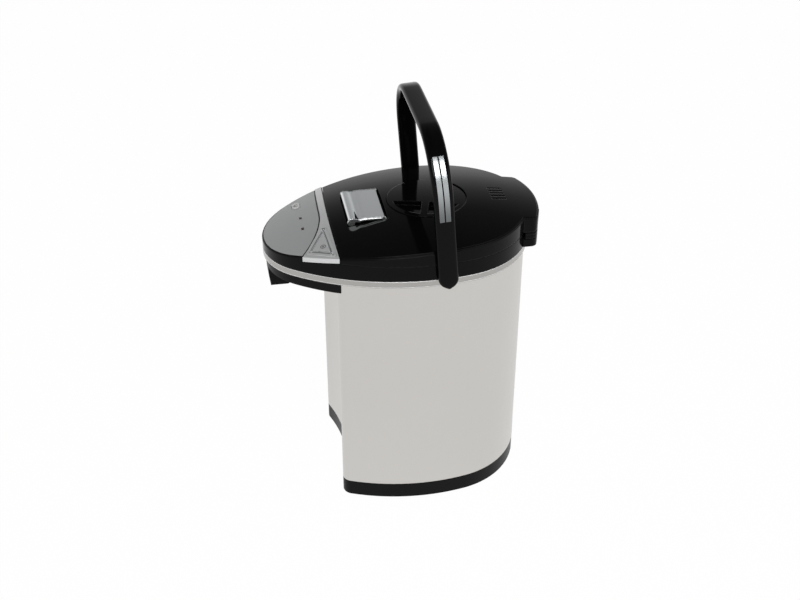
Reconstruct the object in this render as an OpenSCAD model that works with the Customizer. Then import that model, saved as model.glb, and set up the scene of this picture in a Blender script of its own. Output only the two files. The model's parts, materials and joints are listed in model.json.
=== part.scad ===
// Electric thermo pot: a steel-clad hot water dispenser with a lift-up lid,
// a hand pump in the lid, a motor pump in the base and a bail handle.
// Origin: centre of the tank's foot print on the table. +Z up, the spout faces -Y.

/* [Plan outline] */
// Half of the greatest width of the trim ring
half_w = 105; // [95:1:115]
// How far the nose reaches in front of the origin
front_reach = 179; // [170:1:186]
// How far the round rear reaches behind the origin
rear_reach = 124; // [118:1:128]
// Radius of the long side curves
side_r = 240; // [220:5:260]
// Where the sides are widest, along Y
widest_y = -6; // [-10:1:-2]
// How far the steel wall stands inside the trim ring
body_inset = 2.5; // [1.5:0.5:4]
// Front of the two corner columns
front_corner_r = 12; // [10:1:14]
// Radius of the hollow front between the columns
front_hollow_r = 210; // [190:5:260]
// Where the hollow front's centre lies, in front of the origin
front_hollow_y = 302; // [296:1:308]

// Radius of the slight bow of the key strip and the lid's front, seen from above
front_bow_r = 1200; // [900:50:2000]

/* [Heights] */
// Height of the rubber feet
foot_h = 2; // [1.5:0.5:3]
// Top of the plastic base band
base_top = 24; // [20:1:30]
// Top of the steel wall
steel_top = 303; // [290:1:315]
// Height of the silver trim ring
ring_h = 8; // [6:1:10]
// Height of the black collar from the ring to the lid seam
collar_h = 18; // [16:1:20]
// Height of the lid's crown above the lid seam
crown_h = 29; // [27:1:32]

/* [Crown] */
// Where the crown is highest, along Y
crown_y = 25; // [15:1:30]
// Radius of the crown from side to side
crown_rx = 430; // [400:10:500]
// Radius of the crown from front to back
crown_ry = 600; // [560:10:680]
// Rounding of the top edges
edge_r = 2; // [1:0.5:3]

/* [Walls] */
// Wall of the plastic mouldings
wall = 2.5; // [2:0.25:3]
// Thickness of the steel skin
steel_t = 1; // [0.8:0.1:1.5]
// Gap between parts that lie side by side
seam = 0.4; // [0.3:0.1:0.6]
// Gap between a part that moves and what is round it
play = 0.6; // [0.4:0.1:1]
// Radial clearance of a pin in its bore
pin_fit = 0.05; // [0.02:0.01:0.09]

/* [Tank] */
// Inner radius of the water tank
tank_r = 78; // [70:1:79]
// Wall of the tank
tank_t = 1.2; // [0.8:0.1:2]
// Inside bottom of the tank
tank_floor = 64; // [60:1:80]
// Centre of the tank and the pump disc, along Y
tank_y = 8.5; // [4:0.5:10]

/* [Lid] */
// Front face of the lid
lid_front = -103.5; // [-106:0.5:-100]
// Height of the hinge axis above the lid seam
hinge_up = 1; // [0:0.5:2]
// Hinge axis, along Y
hinge_y = 128; // [126:0.5:129]
// Radius of the hinge pin
hinge_pin_r = 1.75; // [1.5:0.25:2]
// Half width of the hinge block
tail_half = 52; // [46:1:56]
// How far the hinge block reaches behind the origin
tail_reach = 135.8; // [134.8:0.5:137.8]
// Radius of the hinge block's rear face, seen from above
tail_r = 128; // [110:2:160]
// Number of steam slots
vent_count = 5; // [3:1:7]
// Distance between steam slots
vent_pitch = 6.3; // [5:0.1:8]
// Length of a steam slot
vent_len = 17; // [10:1:20]
// Width of a steam slot
vent_w = 2.5; // [1.5:0.5:3.5]
// Centre of the steam slots, along Y
vent_y = 90; // [84:1:94]

/* [Hand pump] */
// Radius of the pump disc
disc_r = 45; // [38:1:46]
// Travel of the pump disc
disc_travel = 20; // [12:1:21]
// Height of the pump disc's skirt
disc_skirt = 12; // [8:1:13]
// Depth of the finger pockets in the pump disc
pocket_d = 6; // [4:0.5:6.5]
// How far the pump disc's grip bar is turned at rest, in degrees
disc_turn = -15; // [-20:1:0]

/* [Latch] */
// Width of the latch plate
latch_w = 70; // [50:1:74]
// Length of the latch plate
latch_len = 40; // [34:1:42]
// Rear edge of the latch, where it hinges, along Y
latch_rear = -45; // [-47:0.5:-43]
// Depth of the latch's hinge pin under the plate's top
latch_drop = 5; // [4.5:0.25:6]

/* [Handle] */
// Handle pivot, along Y
handle_y = 12; // [6:1:18]
// Width of the handle strap
strap_w = 22; // [18:1:24]
// Thickness of the handle strap
strap_t = 9; // [7:0.5:10]
// Height of the grip above the pivot
grip_up = 152; // [140:1:160]
// Radius of the bends beside the grip
bend_r = 68; // [45:1:72]
// Forward lean of the handle at rest, in degrees
handle_lean = 4.5; // [0:0.5:8]
// Gap between the collar's side and the handle
handle_gap = 2; // [1.5:0.5:4]

/* [Nose] */
// Depth of the spout housing under the trim ring
spout_h = 14; // [10:1:18]
// Length of the nozzle under the spout housing
nozzle_len = 23.5; // [18:0.5:30]
// Half width of the nozzle
nozzle_half = 11; // [10:0.5:14]
// Bore of the nozzle, as a radius
nozzle_bore = 5; // [4:0.5:6]
// Nozzle axis, along Y
nozzle_y = -160; // [-162:1:-155]
// Radius of the arc between the panel and the key strip
strip_arc_r = 114; // [105:1:130]
// Where that arc begins, along X
strip_arc_x = -10; // [-16:1:0]
// Depth of the key strip at its narrow end
strip_w = 9; // [6:0.5:10]

/* [Hidden] */
eps = 0.01;
fine = 96;
smooth = 240;

// Heights worked out from the driving ones
ring_top = steel_top + ring_h;
seam_z = ring_top + collar_h;
crown_z = seam_z + crown_h;
hinge_z = seam_z + hinge_up;

// Plan outline: a nose arc, two side arcs and a rear arc, each tangent to the next
side_x = side_r - half_w;
nose_g = front_reach + widest_y;
nose_r = (side_r * side_r - side_x * side_x - nose_g * nose_g) / (2 * (side_r - nose_g));
nose_y = nose_r - front_reach;
rear_g = rear_reach - widest_y;
rear_r = (side_r * side_r - side_x * side_x - rear_g * rear_g) / (2 * (side_r - rear_g));
rear_y = rear_reach - rear_r;

// Where the nose and rear arcs of an outline offset by e meet the side arcs
function nose_join(e) = nose_y + (nose_r + e) * (nose_y - widest_y) / (side_r - nose_r);
function rear_join(e) = rear_y + (rear_r + e) * (rear_y - widest_y) / (side_r - rear_r);
// Half width of the outline at a place along Y between the joins
function half_at(y, e) = sqrt(pow(side_r + e, 2) - pow(y - widest_y, 2)) - side_x;
// Height of the crown over a point of the plan
function crown_at(x, y) =
    crown_z - crown_ry
    + sqrt(pow(crown_ry - crown_rx + sqrt(crown_rx * crown_rx - x * x), 2) - pow(y - crown_y, 2));

// Front corners of the steel body: a circle between the side arc and the hollow front
corner_a = side_r - body_inset - front_corner_r;
corner_b = front_hollow_r + front_corner_r;
corner_d = norm([side_x, front_hollow_y + widest_y]);
corner_k = (corner_a * corner_a - corner_b * corner_b + corner_d * corner_d) / (2 * corner_d);
corner_h = sqrt(corner_a * corner_a - corner_k * corner_k);
corner_u = [side_x, -front_hollow_y - widest_y] / corner_d;
corner_c = [-side_x, widest_y] + corner_k * corner_u + corner_h * [-corner_u[1], corner_u[0]];
corner_side = (corner_c - [-side_x, widest_y]) / corner_a;
corner_front = ([0, -front_hollow_y] - corner_c) / corner_b;

nozzle_bottom = steel_top - spout_h - nozzle_len;
handle_z = ring_top + 4;
handle_x = half_at(handle_y, 0) + handle_gap;
grip_half = handle_x + strap_t - bend_r;
panel_inset = 1.8;
panel_t = 1.2;
strip_back = lid_front - seam - 1.2;
mouth_r = tank_r + 1.5;
well_r = disc_r + play;
well_floor = ring_top - 8;
tail_bottom = seam_z - 8;
block_top = tail_bottom - 0.8;
latch_z = crown_at(0, latch_rear) + 0.6;
latch_front = latch_rear - latch_len;
latch_axis_z = latch_z - latch_drop;
motor_x = 0;
motor_y = -20;
board_z = ring_top + 4;
feet_at = [[-62, -72], [62, -72], [-70, 62], [70, 62]];

// ---- plan shapes ----

// Outline of the pot, offset by e
module outline(e) {
    translate([0, nose_y]) circle(r = nose_r + e, $fn = smooth);
    translate([0, rear_y]) circle(r = rear_r + e, $fn = smooth);
    intersection() {
        translate([-side_x, widest_y]) circle(r = side_r + e, $fn = 2 * smooth);
        translate([side_x, widest_y]) circle(r = side_r + e, $fn = 2 * smooth);
        translate([-half_w - 20, nose_join(e)])
            square([2 * half_w + 40, rear_join(e) - nose_join(e)]);
    }
}

// Plan of the steel body, with its hollow front and round corner columns
module body_plan(e) {
    far = 200;
    side_pt = corner_c + corner_side * (far - corner_c[0]) / corner_side[0];
    front_pt = corner_c + corner_front * 60;
    intersection() {
        outline(e - body_inset);
        difference() {
            polygon([[far, far], side_pt, corner_c, front_pt,
                     [-front_pt[0], front_pt[1]], [-corner_c[0], corner_c[1]],
                     [-side_pt[0], side_pt[1]], [-far, far]]);
            translate([0, -front_hollow_y]) circle(r = front_hollow_r - e, $fn = 2 * smooth);
        }
    }
    for (s = [-1, 1])
        translate([s * corner_c[0], corner_c[1]]) circle(r = front_corner_r + e, $fn = fine);
}

// Plan of the hinge block behind the round rear
module tail_plan(e) {
    corner = 8;
    cx = tail_half - corner;
    cy = tail_reach - tail_r + sqrt(pow(tail_r - corner, 2) - cx * cx);
    translate([-tail_half - e, 100]) square([2 * (tail_half + e), cy - 100]);
    for (s = [-1, 1]) translate([s * cx, cy]) circle(r = corner + e, $fn = fine);
    intersection() {
        translate([0, tail_reach - tail_r]) circle(r = tail_r + e, $fn = 2 * smooth);
        translate([-cx, 100]) square([2 * cx, 60]);
    }
}

// Plan of the lid: the pot's outline behind the key strip, with the hinge block
module lid_plan(e, front) {
    intersection() {
        outline(e);
        behind_bow(lid_front + front);
    }
    tail_plan(e);
}

// How far the bowed line lies behind its foremost point
function bow_at(x) = front_bow_r - sqrt(front_bow_r * front_bow_r - x * x);

// Everything of the plan behind a bowed line whose foremost point is at y
module behind_bow(y) {
    translate([0, y + front_bow_r]) circle(r = front_bow_r, $fn = 4 * smooth);
}

// Everything of the plan in front of that line
module ahead_of(y) {
    difference() {
        translate([-150, y - 200]) square([300, 220]);
        behind_bow(y);
    }
}

// Plan behind the arc that parts the panel from the key strip, moved by d
module behind_arc(d) {
    difference() {
        translate([-150, -200]) square([300, 400]);
        difference() {
            ahead_of(strip_back - strip_w - d);
            translate([strip_arc_x, -300]) square([300, 300]);
        }
        intersection() {
            translate([strip_arc_x, strip_back - strip_w + bow_at(strip_arc_x) - strip_arc_r])
                circle(r = strip_arc_r - d, $fn = 2 * smooth);
            translate([strip_arc_x - eps, -300]) square([300, 300]);
        }
    }
}

// ---- solids shared by several parts ----

// The space under the crown, sunk by drop
module crown(drop) {
    translate([0, crown_y, crown_z - crown_ry])
        rotate([0, 90, 0]) rotate([0, 0, 160])
            rotate_extrude(angle = 42, $fn = 2 * smooth)
                intersection() {
                    translate([crown_ry - crown_rx, 0]) circle(r = crown_rx - drop, $fn = 2 * smooth);
                    translate([crown_ry - 90, -125]) square([140, 250]);
                }
}

// A solid under the crown on a plan given as child 0 (full), 1 and 2 (inset more)
// with its top edge rounded in steps
module rounded_top(z0, drop, r) {
    h = crown_z - z0 + 10;
    intersection() {
        translate([0, 0, z0]) linear_extrude(h) children(0);
        crown(drop + r);
    }
    intersection() {
        translate([0, 0, z0]) linear_extrude(h) children(1);
        crown(drop + 0.38 * r);
    }
    intersection() {
        translate([0, 0, z0]) linear_extrude(h) children(2);
        crown(drop);
    }
}

module ring(r_out, r_in, h) {
    difference() {
        cylinder(r = r_out, h = h, $fn = fine);
        translate([0, 0, -1]) cylinder(r = r_in, h = h + 2, $fn = fine);
    }
}

// ---- body and base ----

module body_shell() {
    color("gainsboro")
    difference() {
        translate([0, 0, base_top]) linear_extrude(steel_top - base_top)
            difference() {
                body_plan(0);
                body_plan(-steel_t);
            }
        gauge_opening(0);
        inlet_space(0);
        // notch for the outlet pipe
        translate([-6.5, gauge_front - 8, steel_top - 5]) cube([13, 16, 10]);
    }
}

// Slot in the hollow front for the water gauge
gauge_w = 18;
gauge_z0 = 70;
gauge_z1 = 270;
gauge_front = front_hollow_r - front_hollow_y;
module gauge_opening(e) {
    translate([-gauge_w / 2 - e, gauge_front - 10, gauge_z0 - e])
        cube([gauge_w + 2 * e, 22, gauge_z1 - gauge_z0 + 2 * e]);
}

module gauge_window() {
    color("lightblue")
    for (layer = [[-seam / 2, 0.4, -2.5], [3, -steel_t, -2.5]])
        intersection() {
            gauge_opening(layer[0]);
            translate([0, 0, gauge_z0 - 5]) linear_extrude(gauge_z1 - gauge_z0 + 10)
                difference() {
                    body_plan(layer[1]);
                    body_plan(layer[2]);
                }
        }
}

module gauge_tube() {
    color("lightcyan")
    translate([0, gauge_front + 10, 60]) ring(5, 3.6, steel_top - 60 - 4);
}

inlet_half = 34;
inlet_top = 46;
inlet_depth = 12;
module inlet_space(e) {
    translate([-inlet_half - e, rear_reach - body_inset - inlet_depth - e, foot_h - 1])
        cube([2 * (inlet_half + e), 40, inlet_top - foot_h + 1 + e]);
}

module base_moulding() {
    lip = 8;
    chamfer = 2.5;
    color([0.07, 0.07, 0.07])
    difference() {
        union() {
            translate([0, 0, foot_h]) linear_extrude(chamfer / 3) body_plan(-chamfer);
            translate([0, 0, foot_h + chamfer / 3]) linear_extrude(chamfer / 3)
                body_plan(-chamfer / 2.2);
            translate([0, 0, foot_h + 2 * chamfer / 3]) linear_extrude(chamfer / 3)
                body_plan(-chamfer / 6);
            translate([0, 0, foot_h + chamfer]) linear_extrude(base_top - foot_h - chamfer)
                body_plan(0);
            translate([0, 0, base_top - eps]) linear_extrude(lip) body_plan(-steel_t - seam);
        }
        translate([0, 0, foot_h - 1]) linear_extrude(base_top + lip) body_plan(-steel_t - seam - wall);
        inlet_space(0);
    }
    // web across the base with a hole for the heater's parts
    color([0.07, 0.07, 0.07])
    difference() {
        translate([0, 0, base_top]) linear_extrude(2.5)
            difference() {
                body_plan(-steel_t - seam - wall + eps);
                translate([0, tank_y]) circle(r = 70, $fn = fine);
            }
        inlet_space(pin_tail + 0.6);
        for (p = feet_at) translate([p[0], p[1], base_top - 1]) cylinder(r = 1.4, h = 5, $fn = 24);
    }
    // bosses for the cover's screws
    color([0.07, 0.07, 0.07])
    for (p = feet_at)
        translate([p[0], p[1], foot_h + 2.5]) ring(5, 1.4, base_top - foot_h - 2.5 + eps);
}

module base_cover() {
    cover_t = 2.5;
    color([0.1, 0.1, 0.1])
    translate([0, 0, foot_h])
    difference() {
        linear_extrude(cover_t)
            difference() {
                body_plan(-steel_t - 2 * seam - wall);
                for (p = feet_at) translate(p) circle(r = 1.8, $fn = 24);
            }
        translate([0, 0, -foot_h]) inlet_space(seam);
        for (i = [-6:6], s = [-1, 1])
            translate([i * 7 - 1.5, s * 30 + tank_y - 12, -1]) cube([3, 24, cover_t + 2]);
    }
    // posts under the power board
    color([0.1, 0.1, 0.1])
    for (x = [-62, -38], y = [-5, 22])
        translate([x, y, foot_h + cover_t]) cylinder(r = 3, h = power_z - foot_h - cover_t, $fn = 32);
}

module rubber_feet() {
    foot_r = 8;
    color([0.15, 0.15, 0.15]) {
        for (p = feet_at)
            translate([p[0], p[1] - sign(p[1]) * 14, 0]) cylinder(r = foot_r, h = foot_h, $fn = fine);
        cylinder(r = foot_r, h = foot_h, $fn = fine);
    }
}

module base_screws() {
    color("silver")
    for (p = feet_at)
        translate([p[0], p[1], foot_h - 1.2]) {
            cylinder(r = 3, h = 1.2, $fn = 32);
            cylinder(r = 1.38, h = 14, $fn = 24);
        }
}

// Power inlet: a recessed socket at the rear of the base
socket_half = 20;
socket_z = 14;
socket_h = 20;
module inlet_housing() {
    back = rear_reach - body_inset - 1.2;
    color([0.09, 0.09, 0.09])
    difference() {
        intersection() {
            inlet_space(-seam / 2);
            translate([0, 0, foot_h]) linear_extrude(100) body_plan(0);
        }
        inlet_pins_at() cylinder(r = inlet_pin_r, h = 8.5, $fn = 32);
        translate([-inlet_half + 3, back - 2, foot_h + 3])
            cube([2 * (inlet_half - 3), 20, inlet_top - foot_h - 7]);
        translate([-socket_half, back - 9, socket_z]) cube([2 * socket_half, 20, socket_h]);
    }
}

inlet_pin_r = 1.5;
// How far the pins stand out of the housing's inner side
pin_tail = 1.4;
module inlet_pins_at() {
    for (s = [-1, 0, 1])
        translate([s * 9, rear_reach - body_inset - inlet_depth - pin_tail, socket_z + socket_h / 2])
            rotate([-90, 0, 0]) children();
}

module inlet_pins() {
    color("gold") inlet_pins_at() cylinder(r = inlet_pin_r, h = 8.5, $fn = 32);
}

// ---- trim ring and collar ----

module trim_ring() {
    color("silver")
    translate([0, 0, steel_top]) linear_extrude(ring_h)
        difference() {
            outline(0);
            outline(-5);
        }
}

// Inside of the collar's ring wall
module collar_wall_plan() {
    difference() {
        outline(0);
        outline(-wall - 0.5);
    }
}

key_a = [23, -111.5];
key_b = [62.8, -135.2];
key_c = [79.3, -106.2];
module boil_key_plan(e) {
    r = 3;
    c = (key_a + key_b + key_c) / 3;
    hull()
        for (p = [key_a, key_b, key_c])
            translate(p + (c - p) * r / norm(c - p)) circle(r = r + e, $fn = 24);
}
round_key_at = [-47, -136];
round_key_r = 4.5;
round_key_half = 3.5;
// The round key is drawn out a little along X
module round_key_plan(e) {
    translate(round_key_at) {
        for (s = [-1, 1]) translate([s * round_key_half, 0]) circle(r = round_key_r + e, $fn = 48);
        translate([-round_key_half, -round_key_r - e]) square([2 * round_key_half, 2 * (round_key_r + e)]);
    }
}
lights_at = [[-12, -134], [12.5, -134]];

nose_edge_r = 1;
module nose_plan(e, front) {
    intersection() {
        outline(e);
        ahead_of(lid_front - seam - front);
    }
}

module nose_solid(e, drop, r) {
    rounded_top(ring_top, drop, r) {
        nose_plan(e, -e);
        nose_plan(e - 0.3 * r, -e);
        nose_plan(e - r, -e);
    }
}

module collar() {
    color([0.06, 0.06, 0.06])
    difference() {
        union() {
            nose_solid(0, 0, nose_edge_r);
            translate([0, 0, ring_top]) linear_extrude(collar_h)
                difference() {
                    collar_wall_plan();
                    ahead_of(lid_front - seam - 1);
                }
            // deck round the tank's mouth
            translate([0, 0, ring_top]) linear_extrude(wall)
                difference() {
                    outline(-wall);
                    ahead_of(lid_front - seam - 1);
                }
            translate([0, tank_y, ring_top]) cylinder(r = mouth_r + wall, h = collar_h - 3, $fn = smooth);
            // bosses that hold the handle's pins
            intersection() {
                for (s = [-1, 1])
                    translate([s * (handle_x - handle_gap - 9), handle_y, handle_z]) rotate([0, 90, 0])
                        cylinder(r = 7, h = 14, center = true, $fn = fine);
                translate([-half_w, handle_y - 10, ring_top]) cube([2 * half_w, 20, collar_h]);
            }
        }
        // inside of the nose
        intersection() {
            translate([0, 0, ring_top - 1]) linear_extrude(60) nose_plan(-wall, wall);
            crown(panel_t + wall);
        }
        panel_body();
        strip_body();
        translate([0, tank_y, ring_top - 1]) cylinder(r = mouth_r, h = collar_h + 2, $fn = smooth);
        // room for the hinge block
        translate([-tail_half - play, rear_reach - 16, block_top])
            cube([2 * (tail_half + play), 40, collar_h]);
        // keys and lights pass through
        translate([0, 0, ring_top]) linear_extrude(60) boil_key_plan(0.4);
        translate([0, 0, ring_top]) linear_extrude(60) round_key_plan(0.4);
        for (p = lights_at) translate([p[0] - 3.2, p[1] - 1.7, ring_top]) cube([6.4, 3.4, 60]);
        for (s = [-1, 1]) translate([s * (half_w - 4), handle_y, handle_z]) rotate([0, 90, 0])
            cylinder(r = handle_pin_r, h = 20, center = true, $fn = fine);
    }
}
handle_pin_r = 3.5;

module hinge_block() {
    lug_r = 4.2;
    color([0.06, 0.06, 0.06])
    difference() {
        union() {
            translate([0, 0, ring_top]) linear_extrude(block_top - ring_top)
                difference() {
                    tail_plan(0);
                    outline(0);
                }
            for (s = [-1, 1])
                translate([s * 23, hinge_y, hinge_z]) rotate([0, 90, 0])
                    cylinder(r = lug_r, h = 6, center = true, $fn = fine);
            for (s = [-1, 1])
                translate([s * 23 - 3, hinge_y - lug_r, block_top - 1])
                    cube([6, 2 * lug_r, hinge_z - block_top + 1]);
        }
        translate([0, hinge_y, hinge_z]) rotate([0, 90, 0])
            cylinder(r = hinge_pin_r, h = 80, center = true, $fn = fine);
    }
}

module hinge_pin() {
    color("silver")
    translate([0, hinge_y, hinge_z]) rotate([0, 90, 0])
        cylinder(r = hinge_pin_r, h = 62, center = true, $fn = fine);
}

module handle_pins() {
    color("silver")
    for (s = [-1, 1])
        translate([s * (handle_x - 5), handle_y, handle_z]) rotate([0, 90, 0])
            cylinder(r = handle_pin_r, h = 20, center = true, $fn = fine);
}

// Bracket on the deck in front of the tank's mouth, with a window for the hook
keeper_y = tank_y - mouth_r - wall - 0.5;
module keeper_plate() {
    deck_z = ring_top + wall;
    color("silver")
    difference() {
        union() {
            translate([-9, keeper_y - 12, deck_z]) cube([18, 12, 1.2]);
            translate([-9, keeper_y - 1.2, deck_z]) cube([18, 1.2, 11]);
        }
        translate([-6.5, keeper_y - 3, hook_z - 0.5]) cube([13, 6, 5]);
    }
}

// ---- control panel ----

module panel_body() {
    difference() {
        intersection() {
            crown(0);
            translate([0, 0, ring_top]) linear_extrude(60)
                difference() {
                    outline(-panel_inset);
                    behind_arc(0);
                }
        }
        crown(panel_t);
    }
}

module strip_body() {
    lip = 5;
    difference() {
        intersection() {
            crown(-0.3);
            translate([0, 0, ring_top]) linear_extrude(60)
                intersection() {
                    outline(0.4);
                    behind_arc(-1.6);
                    ahead_of(strip_back);
                }
        }
        crown(lip);
        intersection() {
            crown(1.2);
            translate([0, 0, ring_top]) linear_extrude(60) outline(-1.5);
        }
    }
}

module control_panel() {
    color([0.72, 0.73, 0.74])
    difference() {
        panel_body();
        translate([0, 0, ring_top]) linear_extrude(60) round_key_plan(0.4);
        for (p = lights_at) translate([p[0] - 3, p[1] - 1.5, ring_top]) cube([6, 3, 60]);
    }
}

module panel_strip() {
    color([0.82, 0.83, 0.84])
    difference() {
        strip_body();
        translate([0, 0, ring_top]) linear_extrude(60) boil_key_plan(0.4);
    }
}

module indicator_lights() {
    color("indianred")
    for (p = lights_at)
        translate([p[0] - 2.8, p[1] - 1.3, board_z + 1.6])
            cube([5.6, 2.6, crown_at(p[0], p[1] - 1.3) - board_z - 1.6 - 0.3]);
}

module circuit_board() {
    color("darkgreen")
    difference() {
        translate([0, 0, board_z]) linear_extrude(1.6)
            intersection() {
                outline(-wall);
                translate([-85, -168]) square([170, 58]);
            }
        translate([0, nozzle_y, board_z - 1]) cylinder(r = 9, h = 4, $fn = fine);
    }
}

switch_h = 4;
module key_switches() {
    color([0.3, 0.3, 0.3])
    for (p = [(key_a + key_b + key_c) / 3, round_key_at])
        translate([p[0] - 3, p[1] - 3, board_z + 1.6]) cube([6, 6, switch_h]);
}

key_stem_z = board_z + 1.6 + switch_h + 2;
module boil_key() {
    c = (key_a + key_b + key_c) / 3;
    color([0.86, 0.87, 0.88])
    intersection() {
        union() {
            translate([0, 0, crown_at(c[0], c[1]) - 9]) linear_extrude(20) boil_key_plan(0);
            translate([c[0], c[1], key_stem_z]) cylinder(r = 3, h = 16, $fn = 32);
        }
        crown(-0.9);
    }
}

module round_key() {
    x = round_key_at[0];
    y = round_key_at[1];
    color("white") {
        intersection() {
            translate([0, 0, crown_at(x, y) - 6]) linear_extrude(12) round_key_plan(0);
            crown(-0.6);
        }
        translate([x, y, key_stem_z]) cylinder(r = 2.5, h = crown_at(x, y) - 2 - key_stem_z, $fn = 32);
    }
}

// ---- spout ----

spout_inset = 3;
module spout_plan(e) {
    intersection() {
        outline(-spout_inset + e);
        translate([-150, -200]) square([300, 206 + corner_c[1]]);
    }
}

module spout_housing() {
    color([0.07, 0.07, 0.07])
    difference() {
        translate([0, 0, steel_top - spout_h])
            difference() {
                union() {
                    linear_extrude(1.5) spout_plan(-2);
                    translate([0, 0, 1.5 - eps]) linear_extrude(spout_h - 1.5 + eps) spout_plan(0);
                }
                translate([0, 0, wall]) linear_extrude(spout_h) spout_plan(-wall);
            }
        translate([0, 0, base_top]) linear_extrude(steel_top) body_plan(seam);
        translate([0, nozzle_y, 0]) cylinder(r = nozzle_neck_r, h = steel_top, $fn = fine);
    }
}

nozzle_neck_r = 8;
nozzle_back = nozzle_y + 8.5;
// Height of the neck that stands up into the housing
neck_h = 9.5;

// Plan of the nozzle block: its front follows the housing's
module nozzle_plan() {
    corner = 3;
    intersection() {
        outline(-spout_inset - 0.2);
        union() {
            translate([-nozzle_half, -200]) square([2 * nozzle_half, 200 + nozzle_back - corner]);
            translate([corner - nozzle_half, -200]) square([2 * (nozzle_half - corner), 200 + nozzle_back]);
            for (s = [-1, 1])
                translate([s * (nozzle_half - corner), nozzle_back - corner]) circle(r = corner, $fn = 48);
        }
    }
}

module spout_nozzle() {
    slant = 7;
    top = steel_top - spout_h;
    color([0.07, 0.07, 0.07])
    difference() {
        union() {
            difference() {
                translate([0, 0, nozzle_bottom]) linear_extrude(top - nozzle_bottom) nozzle_plan();
                // front that slopes back towards the bottom
                translate([0, spout_inset - front_reach, top]) rotate([slant, 0, 0])
                    translate([-50, -40, -60]) cube([100, 40, 60]);
            }
            translate([0, nozzle_y, top - eps]) cylinder(r = nozzle_neck_r, h = neck_h, $fn = fine);
        }
        translate([0, nozzle_y, nozzle_bottom - 1]) cylinder(r = nozzle_bore, h = 80, $fn = fine);
    }
}

// ---- tank, heater and motor pump ----

module inner_tank() {
    r = tank_r + tank_t;
    color("silver")
    translate([0, tank_y, 0])
    difference() {
        rotate_extrude($fn = smooth)
            difference() {
                union() {
                    translate([0, tank_floor - tank_t]) square([r, ring_top - 1.2 - tank_floor + tank_t]);
                    translate([0, ring_top - 1.2 - 1.4]) square([r + 6, 1.4]);
                }
                translate([-eps, tank_floor]) square([tank_r + eps, ring_top]);
            }
        translate([motor_x + 30, motor_y, tank_floor - 3]) cylinder(r = 4, h = 6, $fn = 48);
    }
}

module tank_seal() {
    color([0.9, 0.9, 0.88])
    translate([0, tank_y, ring_top - 1.2]) ring(tank_r + tank_t + 6, tank_r + tank_t / 2, 1.2);
}

module tank_filter() {
    color("silver")
    translate([motor_x + 30, tank_y + motor_y, tank_floor])
        difference() {
            cylinder(r = 9, h = 5, $fn = fine);
            translate([0, 0, -1]) cylinder(r = 7.5, h = 5, $fn = fine);
            for (a = [0:45:315]) rotate([0, 0, a]) translate([5, 0, 2]) cylinder(r = 1, h = 5, $fn = 24);
            translate([0, 0, 2]) cylinder(r = 1.5, h = 5, $fn = 24);
        }
}

// Posts between the base's web and the bottom of the tank
module tank_posts() {
    color("silver")
    for (a = [90, 210, 330])
        translate([0, tank_y, base_top + 2.5]) rotate([0, 0, a]) translate([tank_r - 3.5, 0, 0])
            cylinder(r = 4, h = tank_floor - tank_t - base_top - 2.5, $fn = 48);
}

heater_z = tank_floor - tank_t - 9;
module heater_plate() {
    color("gray")
    translate([0, tank_y, heater_z])
    difference() {
        cylinder(r = 62, h = 9, $fn = fine);
        translate([0, 0, -1]) cylinder(r = 14, h = 20, $fn = fine);
        translate([motor_x + 30, motor_y, -1]) cylinder(r = 7, h = 20, $fn = fine);
        // groove of the heating coil
        translate([0, 0, -1]) ring(56, 48, 3);
    }
}

module thermostat() {
    color("dimgray")
    translate([0, tank_y, heater_z - 4]) cylinder(r = 10, h = 13, $fn = fine);
}

module thermal_fuse() {
    color("white")
    translate([-30, tank_y + 10, heater_z - 5]) rotate([0, 90, 0])
        translate([0, 0, -11]) cylinder(r = 5, h = 22, $fn = 32);
}

pump_x = 30;
pump_y = tank_y + motor_y;
pump_r = 19;
volute_z = 36;
module pump_housing() {
    color([0.85, 0.85, 0.82])
    translate([pump_x, pump_y, volute_z])
    difference() {
        union() {
            cylinder(r = pump_r, h = 12, $fn = fine);
            translate([0, 0, 12 - eps]) cylinder(r = 5.5, h = 4, $fn = fine);
            translate([pump_r - 6, 0, 6]) rotate([90, 0, 0]) cylinder(r = 5, h = 28, $fn = fine);
        }
        translate([0, 0, 2]) cylinder(r = pump_r - 2, h = 8, $fn = fine);
        translate([0, 0, 8]) cylinder(r = 3.5, h = 20, $fn = fine);
        translate([pump_r - 6, -8, 6]) rotate([90, 0, 0]) cylinder(r = 3, h = 40, $fn = fine);
    }
}

module pump_motor() {
    color("gray")
    translate([pump_x, pump_y, foot_h + 2.5]) cylinder(r = 14, h = volute_z - foot_h - 2.5, $fn = fine);
}

module impeller() {
    color("ivory")
    translate([pump_x, pump_y, volute_z + 2.6]) {
        difference() {
            cylinder(r = 14, h = 1.6, $fn = fine);
            translate([0, 0, -1]) cylinder(r = 1, h = 4, $fn = 24);
        }
        for (a = [0:60:300]) rotate([0, 0, a]) translate([4, -0.7, 1.5]) cube([9.5, 1.4, 4]);
        translate([0, 0, 1.5]) ring(3, 1, 3);
    }
}

module feed_pipe() {
    color([0.9, 0.9, 0.9])
    translate([pump_x, pump_y, volute_z + 16])
        ring(5.5, 3.5, tank_floor - tank_t - volute_z - 16);
}

riser_x = pump_x + pump_r - 6;
riser_y = gauge_front + 10;
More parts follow.
